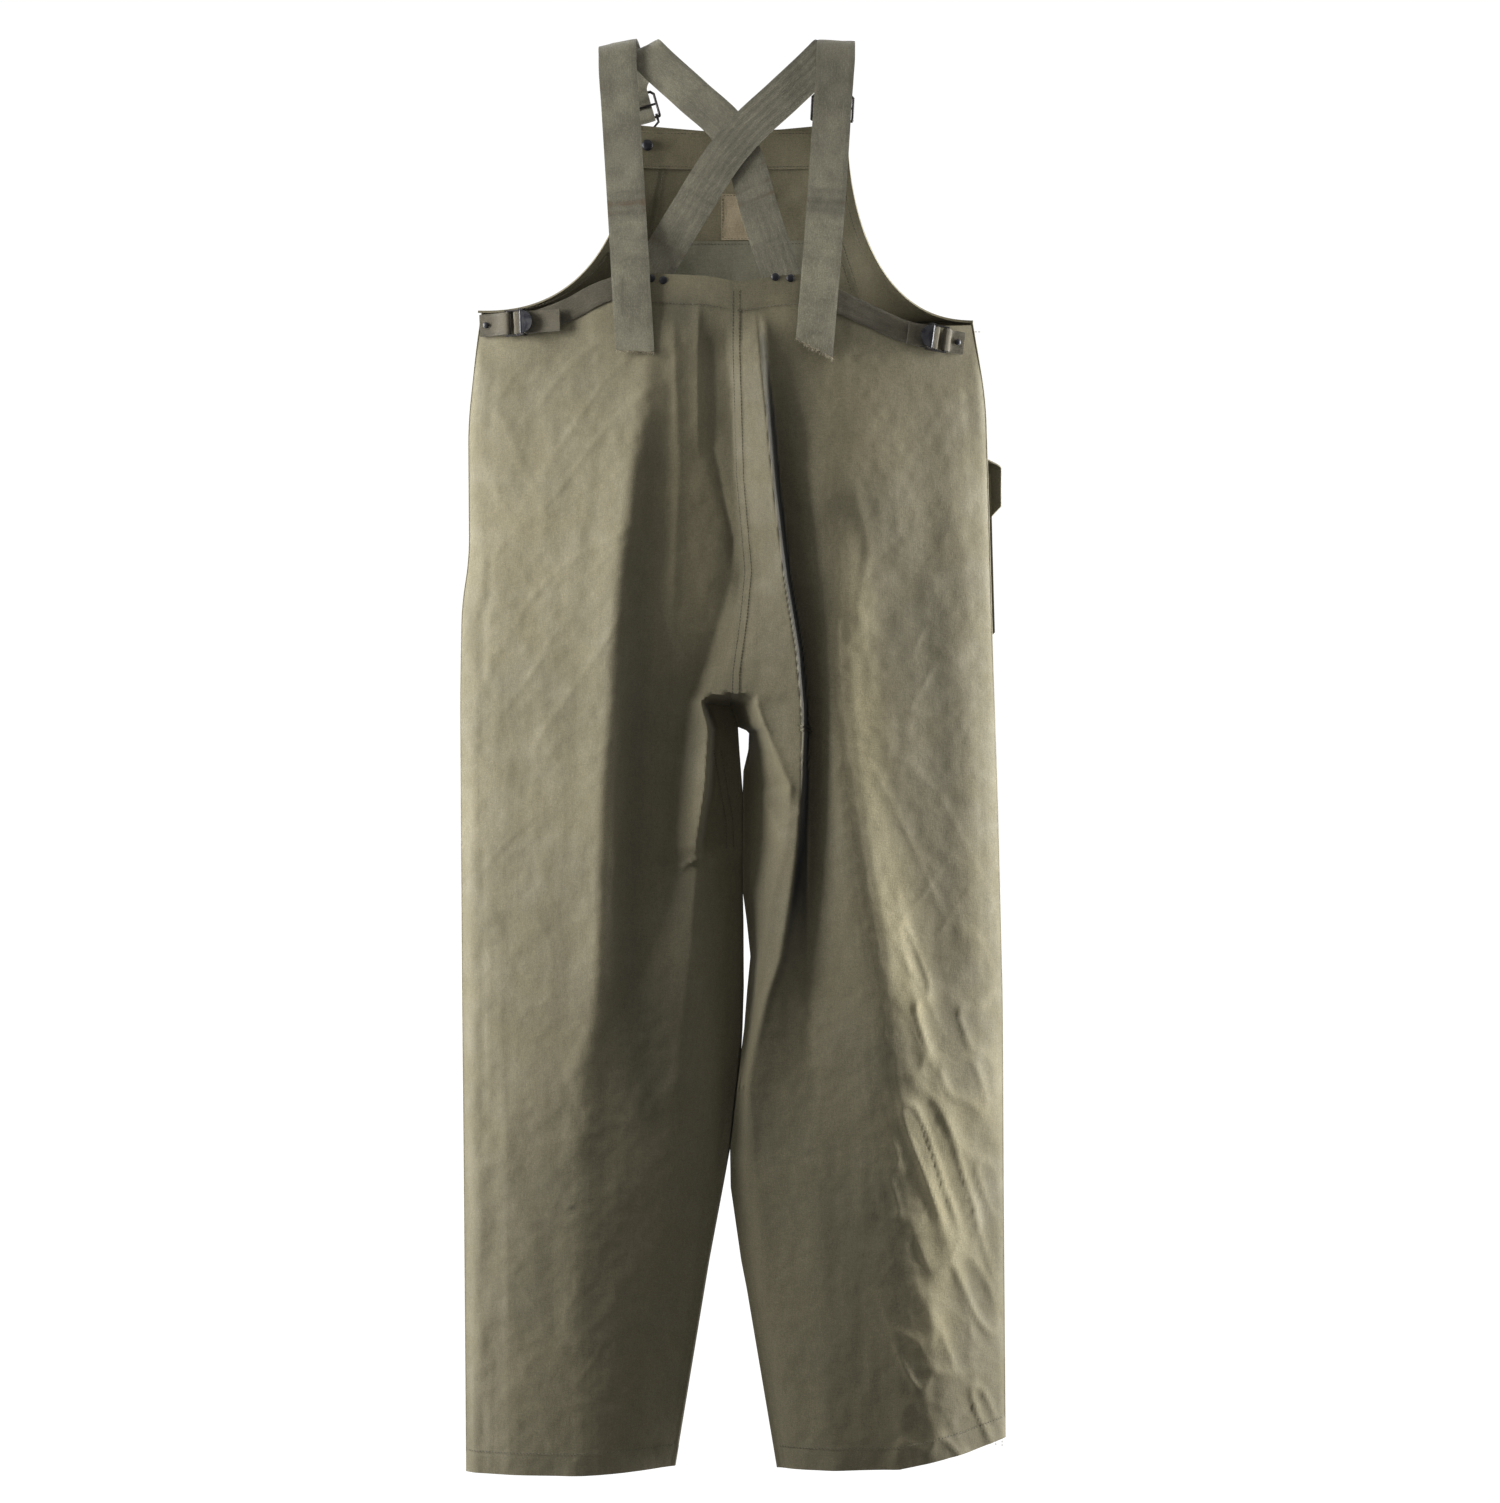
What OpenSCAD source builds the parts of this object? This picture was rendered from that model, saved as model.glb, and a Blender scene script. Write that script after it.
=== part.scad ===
// Chest-high bib overalls with crossed webbing suspenders, hanging from the suspenders.
// Frame: +X wearer's right, +Y wearer's front, +Z up. The origin is the middle of the bar
// that the suspenders hang over.

/* [Body] */
// Length from the hanging bar down to the hems
garment_len = 1415; // [1380:5:1430]
// Height of the crotch below the bar
crotch_drop = 647; // [640:1:655]
// Front depth of the body at the seat, from the side seams
front_depth = 58; // [50:1:64]
// Back depth of the body at the seat, from the side seams
back_depth = 62; // [54:1:66]
// Thickness of the coated cotton cloth
cloth_th = 1.6; // [1.2:0.1:2]

/* [Bib] */
// Height of the bib's top edge below the bar
bib_drop = 75; // [72:1:80]
// Height of the bib buttons below the bar
button_drop = 93; // [90:1:96]
// Diameter of a bib button's head
button_d = 17; // [15:0.5:18]

/* [Webbing] */
// Width of the suspender webbing
strap_w = 38; // [34:1:38]
// Thickness of the suspender webbing
strap_th = 2; // [1.6:0.1:2.2]
// Width of the waist webbing
waist_w = 22; // [18:1:22]
// Thickness of the waist webbing
waist_th = 1.6; // [1.2:0.1:1.8]
// Half the thickness of the bar that the suspenders hang over
bar_half = 8; // [6:1:8]

/* [Metalwork] */
// Diameter of the hook loop's wire
wire_d = 2.2; // [1.8:0.1:2.4]
// Diameter of the slider frame's rod
rod_d = 2.6; // [2.2:0.1:2.8]
// Diameter of the cam lever's pin
pin_d = 2.4; // [2:0.1:2.6]
// Radial play between the lever and its pin
pin_play = 0.05; // [0.02:0.01:0.08]

/* [Pocket] */
// Width of the thigh pocket
pocket_w = 118; // [100:1:124]
// Height of the thigh pocket under its flap line
pocket_h = 178; // [150:1:180]
// Height of the pocket flap
flap_h = 48; // [40:1:52]

/* [Hidden] */

CLOTH = "#6f6a55";
WEBBING = "#77735f";
BLACK = "#24242c";
STEEL = "#4a484c";
LABEL = "#8f7d57";

$fn = 32;
lens = 2.2;              // power of the lens-shaped cross-section
center_x = -6;           // centre seams stand a little to the left of the bar's middle
seam_lap = 2.2 * cloth_th;
columns = 8;             // facets across one panel
LEFT = -1;
RIGHT = 1;

// x of the side seams, by height
OUT_LEFT = [[-garment_len, -271], [-650, -274], [-350, -269], [-272, -259], [-226, -250]];
OUT_RIGHT = [[-garment_len, 269], [-950, 266], [-650, 257], [-350, 248], [-272, 236], [-226, 228]];
// x of the inseams, by height
IN_LEFT = [[-garment_len, -58], [-1250, -28], [-1100, -12], [-900, -8], [-700, -8], [-crotch_drop, center_x]];
IN_RIGHT = [[-garment_len, 41], [-1250, 12], [-1100, 0], [-900, 0], [-700, -4], [-crotch_drop, center_x]];
// depth of the lens behind and before the side seams, by height
BACK_B = [[-garment_len, 42], [-1200, 46], [-900, 52], [-crotch_drop, 58], [-450, back_depth],
          [-300, 50], [-226, 42]];
FRONT_B = [[-garment_len, 40], [-1200, 44], [-900, 50], [-crotch_drop, 54], [-450, front_depth], [-270, 46]];
// share of the way from one trunk section to two leg sections
SPLIT = [[-garment_len, 1], [-crotch_drop, 1], [-636, 0.9], [-618, 0.68], [-590, 0.36],
         [-560, 0.12], [-530, 0]];
// height of the back panels' top edge, by x
BACK_TOP = [[-262, -268], [-200, -272], [-172, -264], [-134, -244], [-110, -230], [-90, -226],
            [78, -226], [100, -240], [125, -255], [160, -280], [240, -275]];
PANEL_ROWS = [-310, -370, -450, -530, -560, -590, -618, -636, -crotch_drop,
              -700, -900, -1100, -1250, -garment_len];
waist_z = -267;          // mean height of the seam between the bib and the front panels
waist_tilt = -0.02;      // that seam drops a little towards the wearer's right

// Bib: top corners and how the armhole edge curves down to the side seams
bib_top_x = [-108, 111];
bib_side_x = [-259, 236];
bib_curve = 1.15;
bib_rows = 9;
bib_top_side_y = 17;
bib_top_mid_y = 24;

function lerp(a, b, t) = a + (b - a) * t;
function unit(v) = v / norm(v);
function side_x(side, z) = lookup(z, side == LEFT ? OUT_LEFT : OUT_RIGHT);
function in_x(side, z) = z > -crotch_drop ? center_x : lookup(z, side == LEFT ? IN_LEFT : IN_RIGHT);

// A point of a panel's outer (inset = 0) or inner (inset = cloth_th) face.
// t runs from the side seam to the centre seam or inseam; face is -1 at the back, 1 in front.
function panel_point(side, face, t, z, inset) =
    let(
        s = lookup(z, SPLIT),
        depth = lookup(z, face < 0 ? BACK_B : FRONT_B) - inset,
        lap = inset / cloth_th * seam_lap,
        x0 = side_x(side, z) - side * lap,
        x1 = in_x(side, z) + side * lap * s
    )
    [lerp(x0, x1, t), face * depth * (1 - pow(abs(1 - t * (1 + s)), lens)), z];

function waist_line(x) = waist_z + waist_tilt * x;
function top_z(side, face, t) =
    let(x = lerp(side_x(side, waist_z), center_x, t))
    face < 0 ? lookup(x, BACK_TOP) : waist_line(x);

function panel_grid(side, face, inset) = [
    for (row = [-1 : len(PANEL_ROWS) - 1])
        [for (j = [0 : columns])
            let(t = j / columns)
            panel_point(side, face, t, row < 0 ? top_z(side, face, t) : PANEL_ROWS[row], inset)]
];

// Depth of a panel's outer face at a place; beyond the side seam it stays at the seam's own depth
function cloth_y(face, x, z) =
    let(
        side = x < center_x ? LEFT : RIGHT,
        t = (x - side_x(side, z)) / (in_x(side, z) - side_x(side, z)),
        w = min(1, abs(1 - t * (1 + lookup(z, SPLIT))))
    )
    face * lookup(z, face < 0 ? BACK_B : FRONT_B) * (1 - pow(w, lens));

// A closed sheet between two point grids of the same size
module sheet(outer, inner) {
    rows = len(outer);
    cols = len(outer[0]);
    count = rows * cols;
    i0 = floor(rows / 2) - 1;
    j0 = floor((cols - 1) / 2);
    facing = cross(outer[i0][j0 + 1] - outer[i0][j0], outer[i0 + 1][j0] - outer[i0][j0])
             * (outer[i0][j0] - inner[i0][j0]);
    faces = concat(
        [for (i = [0 : rows - 2], j = [0 : cols - 2], half = [0, 1])
            let(a = i * cols + j, b = a + 1, c = a + cols, d = c + 1)
            half == 0 ? [a, b, c] : [b, d, c]],
        [for (i = [0 : rows - 2], j = [0 : cols - 2], half = [0, 1])
            let(a = count + i * cols + j, b = a + 1, c = a + cols, d = c + 1)
            half == 0 ? [a, c, b] : [b, c, d]],
        [for (j = [0 : cols - 2], half = [0, 1])
            let(a = j, b = j + 1)
            half == 0 ? [b, a, a + count] : [b, a + count, b + count]],
        [for (j = [0 : cols - 2], half = [0, 1])
            let(c = (rows - 1) * cols + j, d = c + 1)
            half == 0 ? [c, d, d + count] : [c, d + count, c + count]],
        [for (i = [0 : rows - 2], half = [0, 1])
            let(a = i * cols, c = a + cols)
            half == 0 ? [a, c, c + count] : [a, c + count, a + count]],
        [for (i = [0 : rows - 2], half = [0, 1])
            let(b = i * cols + cols - 1, d = b + cols)
            half == 0 ? [d, b, b + count] : [d, b + count, d + count]]
    );
    polyhedron(
        points = concat([for (r = outer) each r], [for (r = inner) each r]),
        faces = [for (f = faces) facing > 0 ? [f[2], f[1], f[0]] : f]
    );
}

// A webbing ribbon through rings of [centre, width direction]
module ribbon(rings, width, th) {
    last = len(rings) - 1;
    normals = [for (i = [0 : last])
        unit(cross(rings[i][1], rings[min(i + 1, last)][0] - rings[max(i - 1, 0)][0]))];
    function edge(i, lift) = [for (s = [-1, 1])
        rings[i][0] + rings[i][1] * s * width / 2 + normals[i] * lift];
    sheet([for (i = [0 : last]) edge(i, th / 2)], [for (i = [0 : last]) edge(i, -th / 2)]);
}

// A wire through points, made of rods and the balls that join them
module wire(points, r) {
    ball_swell = 1.03;
    for (i = [0 : len(points) - 2])
        rod(points[i], points[i + 1], r);
    for (i = [1 : len(points) - 2])
        translate(points[i]) sphere(r = r * ball_swell);
}

module rod(a, b, r) {
    d = b - a;
    tilt = acos(d.z / norm(d));
    spin = atan2(d.y, d.x);
    translate(a) rotate([0, tilt, spin]) cylinder(r = r, h = norm(d));
}

// ---- cloth panels -------------------------------------------------------

rivet_r = 1.5;
// Strap rivets: [x, z] of each, under the crossing straps' lower ends
LEFT_STRAP_RIVETS = [[38, -232], [53, -233]];
RIGHT_STRAP_RIVETS = [[-85, -233], [-73, -235]];

module rivet_holes(places) {
    for (p = places)
        translate([p[0], 0, p[1]]) rotate([90, 0, 0]) cylinder(r = rivet_r, h = 80);
}

module panel(side, face) {
    sheet(panel_grid(side, face, 0), panel_grid(side, face, cloth_th));
}

module back_left_panel() {
    color(CLOTH) difference() {
        panel(LEFT, -1);
        rivet_holes(RIGHT_STRAP_RIVETS);
        at_buckle(LEFT) tab_hole(LEFT);
    }
}

module back_right_panel() {
    color(CLOTH) difference() {
        panel(RIGHT, -1);
        rivet_holes(LEFT_STRAP_RIVETS);
        at_buckle(RIGHT) tab_hole(RIGHT);
    }
}

module front_left_panel() { color(CLOTH) panel(LEFT, 1); }

module front_right_panel() {
    color(CLOTH) difference() {
        panel(RIGHT, 1);
        at_pocket() snap_hole();
    }
}

facing_th = 1.0;
facing_gap = 0.3;
module back_waist_facing() {
    depth = 36;
    span = [-104, 74];
    steps = 10;
    function spot(j, k, lift) =
        let(x = lerp(span[0], span[1], j / steps), z = lerp(-227, -227 - depth, k / 2))
        [x, cloth_y(-1, x, z) + cloth_th + facing_gap + lift + 0.4, z];
    color(CLOTH) difference() {
        sheet([for (k = [0 : 2]) [for (j = [0 : steps]) spot(j, k, 0)]],
              [for (k = [0 : 2]) [for (j = [0 : steps]) spot(j, k, facing_th)]]);
        rivet_holes(LEFT_STRAP_RIVETS);
        rivet_holes(RIGHT_STRAP_RIVETS);
    }
}

// ---- bib ----------------------------------------------------------------

// Bib point: u from -1 to 1 across, v from 0 at the waist seam to 1 at the top edge
function bib_rise(v) = pow(1 - cos(90 * v), bib_curve);
function bib_edge_x(k, v) = lerp(bib_side_x[k], bib_top_x[k], sin(90 * v));
function bib_x(u, v) = lerp(center_x, bib_edge_x(u < 0 ? 0 : 1, v), abs(u));
function bib_y(u, v, inset) =
    let(
        rise = bib_rise(v),
        edge = lerp(0, bib_top_side_y, rise),
        mid = lerp(lookup(waist_z, FRONT_B), bib_top_mid_y, rise)
    )
    lerp(edge, mid, 1 - pow(abs(u), lens)) - inset * (1 - pow(abs(u), 12) * (1 - rise));
function bib_point(u, v, inset) =
    let(
        pull = inset / cloth_th * seam_lap * (1 - bib_rise(v)) * pow(abs(u), 6) * sign(u),
        x = bib_x(u, v)
    )
    [x - pull, bib_y(u, v, inset), lerp(waist_line(x), -bib_drop, bib_rise(v))];

// v and u of the bib's face at a place
function bib_v(z) = acos(1 - pow((z - waist_z) / (-bib_drop - waist_z), 1 / bib_curve)) / 90;
function bib_u(x, v) = (x - center_x) / abs(bib_edge_x(x < center_x ? 0 : 1, v) - center_x);
function bib_face(x, z, lift) =
    let(v = bib_v(z), u = bib_u(x, v))
    [x, bib_y(u, v, 0) + lift, z];

module button_holes() {
    for (b = BUTTONS)
        translate([b[0], 0, b[1]]) rotate([-90, 0, 0]) cylinder(r = rivet_r, h = 60);
}

module bib_panel() {
    function face(lift) =
        [for (k = [0 : bib_rows]) [for (j = [-columns : columns]) bib_point(j / columns, k / bib_rows, lift)]];
    color(CLOTH) difference() {
        sheet(face(0), face(cloth_th));
        button_holes();
    }
}

// A patch on the bib: its corners' x at the top and bottom, its heights, its lifts off the outer face
module bib_patch(top_x, low_x, top, low, near, far, across = 10, down = 6) {
    function spot(j, k, lift) =
        let(z = lerp(top, low, k / down),
            x = lerp(lerp(top_x[0], low_x[0], k / down), lerp(top_x[1], low_x[1], k / down), j / across))
        bib_face(x, z, lift);
    sheet([for (k = [0 : down]) [for (j = [0 : across]) spot(j, k, far)]],
          [for (k = [0 : down]) [for (j = [0 : across]) spot(j, k, near)]]);
}

module bib_top_facing() {
    color(CLOTH) difference() {
        bib_patch([-101, 104], [-108, 112], -bib_drop - 3, -116, -cloth_th - facing_gap - 0.4,
                  -cloth_th - facing_gap - 0.4 - facing_th, 10, 3);
        button_holes();
    }
}
module bib_pocket() {
    color(CLOTH) bib_patch([-74, 73], [-118, 118], -116, -246, 0.9, 0.9 + cloth_th);
}
module bib_lining() {
    color(CLOTH) bib_patch([-88, 84], [-98, 92], -187, -248, -cloth_th - 0.9,
                           -cloth_th - 0.9 - facing_th, 8, 4);
}
module blank_label() {
    color(LABEL) bib_patch([-15, 27], [-15, 27], -140, -185, -cloth_th - 0.8, -cloth_th - 1.4, 4, 3);
}

// ---- suspenders ---------------------------------------------------------

BUTTONS = [[-90, -button_drop], [94, -button_drop]];
clasp_y = bib_top_mid_y + 4.4;   // plane of the hook loop, in front of the bib
CLASP_TILT = [16, -3];           // lean of each clasp about its button
cross_bar_z = 40;
low_bar_z = 27;
top_bar_z = 53;
slider_half = strap_w / 2 + 1.6;
gather = 0.8;                    // the webbing's width in the slider, as a share of its full width

function tip_frame(k, p) =       // from a clasp's own frame to the garment's
    let(a = CLASP_TILT[k])
    [BUTTONS[k][0] + p.x * cos(a) - p.z * sin(a), clasp_y + p.y, BUTTONS[k][1] + p.x * sin(a) + p.z * cos(a)];
function wide(a) = [cos(a), 0, sin(a)];

// Half turn over the bar: start centre on the back, width angle there, slope of the fold, its radius
function fold_rings(start, w_angle, slope, r, steps = 6) =
    let(
        f = wide(slope),
        up = [-sin(slope), 0, cos(slope)],
        w = wide(w_angle),
        d = [-sin(w_angle), 0, cos(w_angle)],
        creep = (d * f) / (d * up)
    )
    [for (i = [0 : steps])
        let(a = 180 * i / steps)
        [start + [0, r, 0] + f * creep * r * a * PI / 180 + r * (-cos(a) * [0, 1, 0] + sin(a) * up),
         (w * f) * f + (w * up) * (cos(a) * up + sin(a) * [0, 1, 0])]];

function reversed(list) = [for (i = [len(list) - 1 : -1 : 0]) list[i]];

fold_in = bar_half + strap_th / 2;        // radius of the strap's first pass over the bar
fold_out = fold_in + strap_th + 1.5;      // radius of its second pass

// The strap's weave through the slider, as [depth, height] in the clasp's own frame
weave_r = rod_d / 2 + strap_th / 2 + 0.5;
outer_y = weave_r + strap_th + 1;
WEAVE = concat(
    [[-weave_r - 0.4, top_bar_z + 3], [-weave_r, top_bar_z - 1], [0.2, top_bar_z - 6],
     [weave_r, cross_bar_z + 2.5], [weave_r, cross_bar_z - 1.5], [0, cross_bar_z - 6]],
    [for (a = [180 : 36 : 360]) [weave_r * cos(a), low_bar_z + weave_r * sin(a)]],
    [[4, low_bar_z + 6], [outer_y, cross_bar_z - 2], [outer_y, cross_bar_z + 3], [4.8, top_bar_z - 3],
     [4, top_bar_z + 3]]
);
function weave_rings(k) = [for (p = WEAVE) [tip_frame(k, [0, p[0], p[1]]), gather * wide(CLASP_TILT[k])]];

// Each route: from the rivets up to the bar, over it, through the slider, over it again, down the back
LEFT_BACK = [[52.5, -34.6, -252, 20], [43, -34.6, -226, 20], [24, -31, -170, 21], [8, -28, -115, 27],
             [-8, -25, -84, 38], [-45, -18, -48, 43]];
LEFT_TAIL = [[-119, -13, -12, 3.4], [-116, -20, -60, 3.4], [-110, -36, -150, 4], [-106, -44.5, -215, 4],
             [-104, -47.5, -250, 4], [-102, -49, -280, 4], [-100, -50.5, -311, 4]];
RIGHT_BACK = [[-100, -31, -252, -31], [-84, -32.2, -226, -31], [-50, -33.6, -170, -31],
              [-14, -32.5, -113, -33], [8, -30, -86, -40], [45, -20, -50, -43]];
RIGHT_TAIL = [[98, -13, -10, -4], [95, -20, -60, -4], [89, -36, -150, -4.5], [84, -44, -215, -5],
              [81, -47, -250, -5], [78.5, -49, -280, -5], [76, -50.5, -306, -5]];

function placed(list) = [for (p = list) [[p[0], p[1], p[2]], wide(p[3])]];

module left_strap() {
    rings = concat(
        placed(LEFT_BACK),
        fold_rings([-89, -fold_in, -6], 41.5, 24, fold_in),
        placed([[-101, 17, -23, 13]]),
        weave_rings(0),
        placed([[-110, 24.5, -25, 13]]),
        reversed(fold_rings([-119, -fold_out, -6], 3.4, 11, fold_out)),
        placed(LEFT_TAIL)
    );
    color(WEBBING) difference() {
        ribbon(rings, strap_w, strap_th);
        rivet_holes(LEFT_STRAP_RIVETS);
    }
}

module right_strap() {
    rings = concat(
        placed(RIGHT_BACK),
        fold_rings([89, -fold_in, -6], -41.5, -24, fold_in),
        placed([[96, 17, -23, -6]]),
        weave_rings(1),
        placed([[98, 24.5, -25, -3]]),
        reversed(fold_rings([98, -fold_out, -4], -4, -2, fold_out)),
        placed(RIGHT_TAIL)
    );
    color(WEBBING) difference() {
        ribbon(rings, strap_w, strap_th);
        rivet_holes(RIGHT_STRAP_RIVETS);
    }
}

// ---- strap rivets and bib buttons ---------------------------------------

rivet_head_r = 4;
strap_shank = 12;
function rivet_y(p) = cloth_y(-1, p[0], p[1]);

// A domed head on a shank, along -Y from the cloth's face at y = 0
module rivet(head_r, shank) {
    rotate([90, 0, 0]) rotate_extrude()
        polygon(concat([[0, -shank], [rivet_r, -shank], [rivet_r, 0], [head_r, 0], [head_r, 0.5]],
                       [for (a = [20 : 20 : 80]) [head_r * cos(a), 0.5 + head_r * 0.4 * sin(a)]],
                       [[0, 0.5 + head_r * 0.4]]));
}

module burr(outer_r) {
    rotate([90, 0, 0]) difference() {
        cylinder(r = outer_r, h = 0.8);
        translate([0, 0, -1]) cylinder(r = rivet_r, h = 3);
    }
}

module strap_rivets(places) {
    color(BLACK) for (p = places)
        translate([p[0], rivet_y(p) - 0.6, p[1]]) rivet(rivet_head_r, strap_shank);
}
module strap_burrs(places) {
    color(STEEL) for (p = places)
        translate([p[0], rivet_y(p) + strap_shank - 1.2, p[1]]) burr(3.6);
}
module left_strap_rivets() { strap_rivets(LEFT_STRAP_RIVETS); }
module right_strap_rivets() { strap_rivets(RIGHT_STRAP_RIVETS); }
module left_strap_burrs() { strap_burrs(LEFT_STRAP_RIVETS); }
module right_strap_burrs() { strap_burrs(RIGHT_STRAP_RIVETS); }

shank_r = 2.5;
// Hollow button head on a shank that the tack's nail is pressed into
module button(k) {
    b = BUTTONS[k];
    face = bib_face(b[0], b[1], 0).y;
    head_y = clasp_y + wire_d / 2 + 0.4;
    color(STEEL) translate([b[0], 0, b[1]]) rotate([-90, 0, 0]) rotate_extrude()
        polygon([[1.2, face + 0.9], [4.2, face + 0.9], [4.2, face + 1.5], [shank_r, face + 1.5],
                 [shank_r, head_y], [button_d / 2 - 0.6, head_y], [button_d / 2, head_y + 0.6],
                 [button_d / 2, head_y + 1.6], [button_d / 2 - 1, head_y + 2.4],
                 [button_d / 2 - 2.6, head_y + 2], [0, head_y + 2], [0, head_y + 0.6],
                 [1.2, head_y + 0.6]]);
}
// Tack: a domed head inside the bib and a nail through the cloth into the button
module button_tack(k) {
    b = BUTTONS[k];
    face = bib_face(b[0], b[1], 0).y - cloth_th - facing_gap - facing_th - 1.9;
    head_r = 5.6;
    color(BLACK) translate([b[0], 0, b[1]]) rotate([-90, 0, 0]) rotate_extrude()
        polygon(concat([[0, face - 3]],
                       [for (a = [75 : -15 : 0]) [head_r * cos(a), face - 0.6 - 2.4 * sin(a)]],
                       [[head_r, face], [1.2, face], [1.2, clasp_y + 1], [0, clasp_y + 1.8]]));
}
module left_button() { button(0); }
module right_button() { button(1); }
module left_button_tack() { button_tack(0); }
module right_button_tack() { button_tack(1); }

// ---- clasps: hook loop and slider ----------------------------------------

module at_clasp(k) {
    translate([BUTTONS[k][0], clasp_y, BUTTONS[k][1]]) rotate([0, -CLASP_TILT[k], 0]) children();
}

eye_w = wire_d + 0.4;            // width of the eyes that hold the slider
eye_r = 3.2;
loop_half = slider_half - rod_d / 2 - eye_w / 2 - 0.4;
keyhole_r = shank_r + wire_d / 2 + 0.25;
// Wire keyhole: a narrow throat round the shank, a wide eye that clears the button's head, and two legs
module hook_loop(k) {
    r = wire_d / 2;
    legs = [[keyhole_r, 0, 0], [10.8, 0, 10], [10.8, 0, 17],
            [loop_half, 0, low_bar_z - 5.4], [loop_half, 0, low_bar_z - 2.2]];
    color(STEEL) at_clasp(k) {
        rotate([-90, 0, 0]) rotate_extrude(angle = 180) translate([keyhole_r, 0]) circle(r = r);
        for (m = [0, 1]) mirror([m, 0, 0]) {
            wire(legs, r);
            translate(legs[0]) sphere(r = r * 1.06);
            translate([loop_half, 0, low_bar_z]) rotate([0, 90, 0])
                difference() {
                    cylinder(r = eye_r, h = eye_w, center = true);
                    cylinder(r = rod_d / 2 + 0.06, h = 2 * eye_w, center = true);
                }
        }
    }
}

// Rectangular rod frame with a cross bar
module slider(k) {
    r = rod_d / 2;
    corner = 3;
    half = slider_half;
    ring = [[-half + corner, 0, top_bar_z], [half - corner, 0, top_bar_z], [half, 0, top_bar_z - corner],
            [half, 0, low_bar_z + corner * 0.2], [half - 0.6, 0, low_bar_z],
            [-half + 0.6, 0, low_bar_z], [-half, 0, low_bar_z + corner * 0.2], [-half, 0, top_bar_z - corner],
            [-half + corner, 0, top_bar_z]];
    color(STEEL) at_clasp(k) {
        wire(ring, r);
        translate(ring[0]) sphere(r = r * 1.03);
        rod([-half, 0, cross_bar_z], [half, 0, cross_bar_z], r * 0.9);
    }
}
module left_hook_loop() { hook_loop(0); }
module right_hook_loop() { hook_loop(1); }
module left_slider() { slider(0); }
module right_slider() { slider(1); }

// ---- waist adjusters ------------------------------------------------------
// A buckle's own frame: x towards its webbing's free end, z up, -y out from the cloth

BUCKLES = [[-211.5, -275], [190.5, -289.5]];   // x and z of each buckle
BUCKLE_TURN = [-17.5, 18.5];                   // turn about Z that lays it on the cloth
BUCKLE_LEAN = [-2, 8];                         // lean in the cloth's plane
RIVET_X = [-39.5, -30];
BURR_Y = [8, 4.8];                             // how far inside each rivet's burr lies
TAIL_X = [39.5, 24];
buckle_gap = 1.2;
end_bar_x = -16;
mid_bar_x = -6;
bar_y = -5;
bar_r = 1.5;
cheek_z = waist_w / 2 + 1.4;
lever_pin = [1, -11.6];

function k_of(side) = side == LEFT ? 0 : 1;
module at_buckle(side) {
    k = k_of(side);
    x = BUCKLES[k][0];
    z = BUCKLES[k][1];
    translate([x, cloth_y(-1, x, z) - buckle_gap, z])
        rotate([0, 0, BUCKLE_TURN[k]]) rotate([0, BUCKLE_LEAN[k], 0])
        mirror([side == LEFT ? 0 : 1, 0, 0]) children();
}

// The same frame as points: a place in it, and a direction
function turned(side, p) =
    let(
        a = BUCKLE_TURN[k_of(side)],
        e = BUCKLE_LEAN[k_of(side)],
        x = -side * p.x,
        lx = x * cos(e) + p.z * sin(e)
    )
    [lx * cos(a) - p.y * sin(a), lx * sin(a) + p.y * cos(a), p.z * cos(e) - x * sin(e)];
function from_buckle(side, p) =
    let(b = BUCKLES[k_of(side)])
    [b[0], cloth_y(-1, b[0], b[1]) - buckle_gap, b[1]] + turned(side, p);

// Ribbon outline through 2-D centre points, th thick
module strip(points, th, width) {
    last = len(points) - 1;
    function across(i) =
        let(d = unit(points[min(i + 1, last)] - points[max(i - 1, 0)]))
        [-d.y, d.x] * th / 2;
    translate([0, 0, -width / 2]) linear_extrude(width)
        polygon(concat([for (i = [0 : last]) points[i] + across(i)],
                       [for (i = [last : -1 : 0]) points[i] - across(i)]));
}

wrap_r = bar_r + waist_th / 2 + 0.25;
function wrap(x, from, to) = [for (i = [0 : 6])
    let(a = lerp(from, to, i / 6)) [x + wrap_r * cos(a), bar_y + wrap_r * sin(a)]];

module tab_hole(side) {
    translate([RIVET_X[k_of(side)], 20, 0]) rotate([90, 0, 0]) cylinder(r = rivet_r, h = 40);
}

// Folded webbing tab: from its rivet round the end bar and back
module buckle_tab(side) {
    rx = RIVET_X[k_of(side)];
    color(WEBBING) at_buckle(side) difference() {
        strip(concat([[rx - 7, -0.9], [rx + 8, -0.9], [end_bar_x - 3, -1.8]],
                     wrap(end_bar_x, 90, -90),
                     [[end_bar_x - 4, -6.8], [rx + 8, -3.2], [rx - 7, -2.9]]), waist_th, waist_w);
        tab_hole(side);
    }
}

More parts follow.
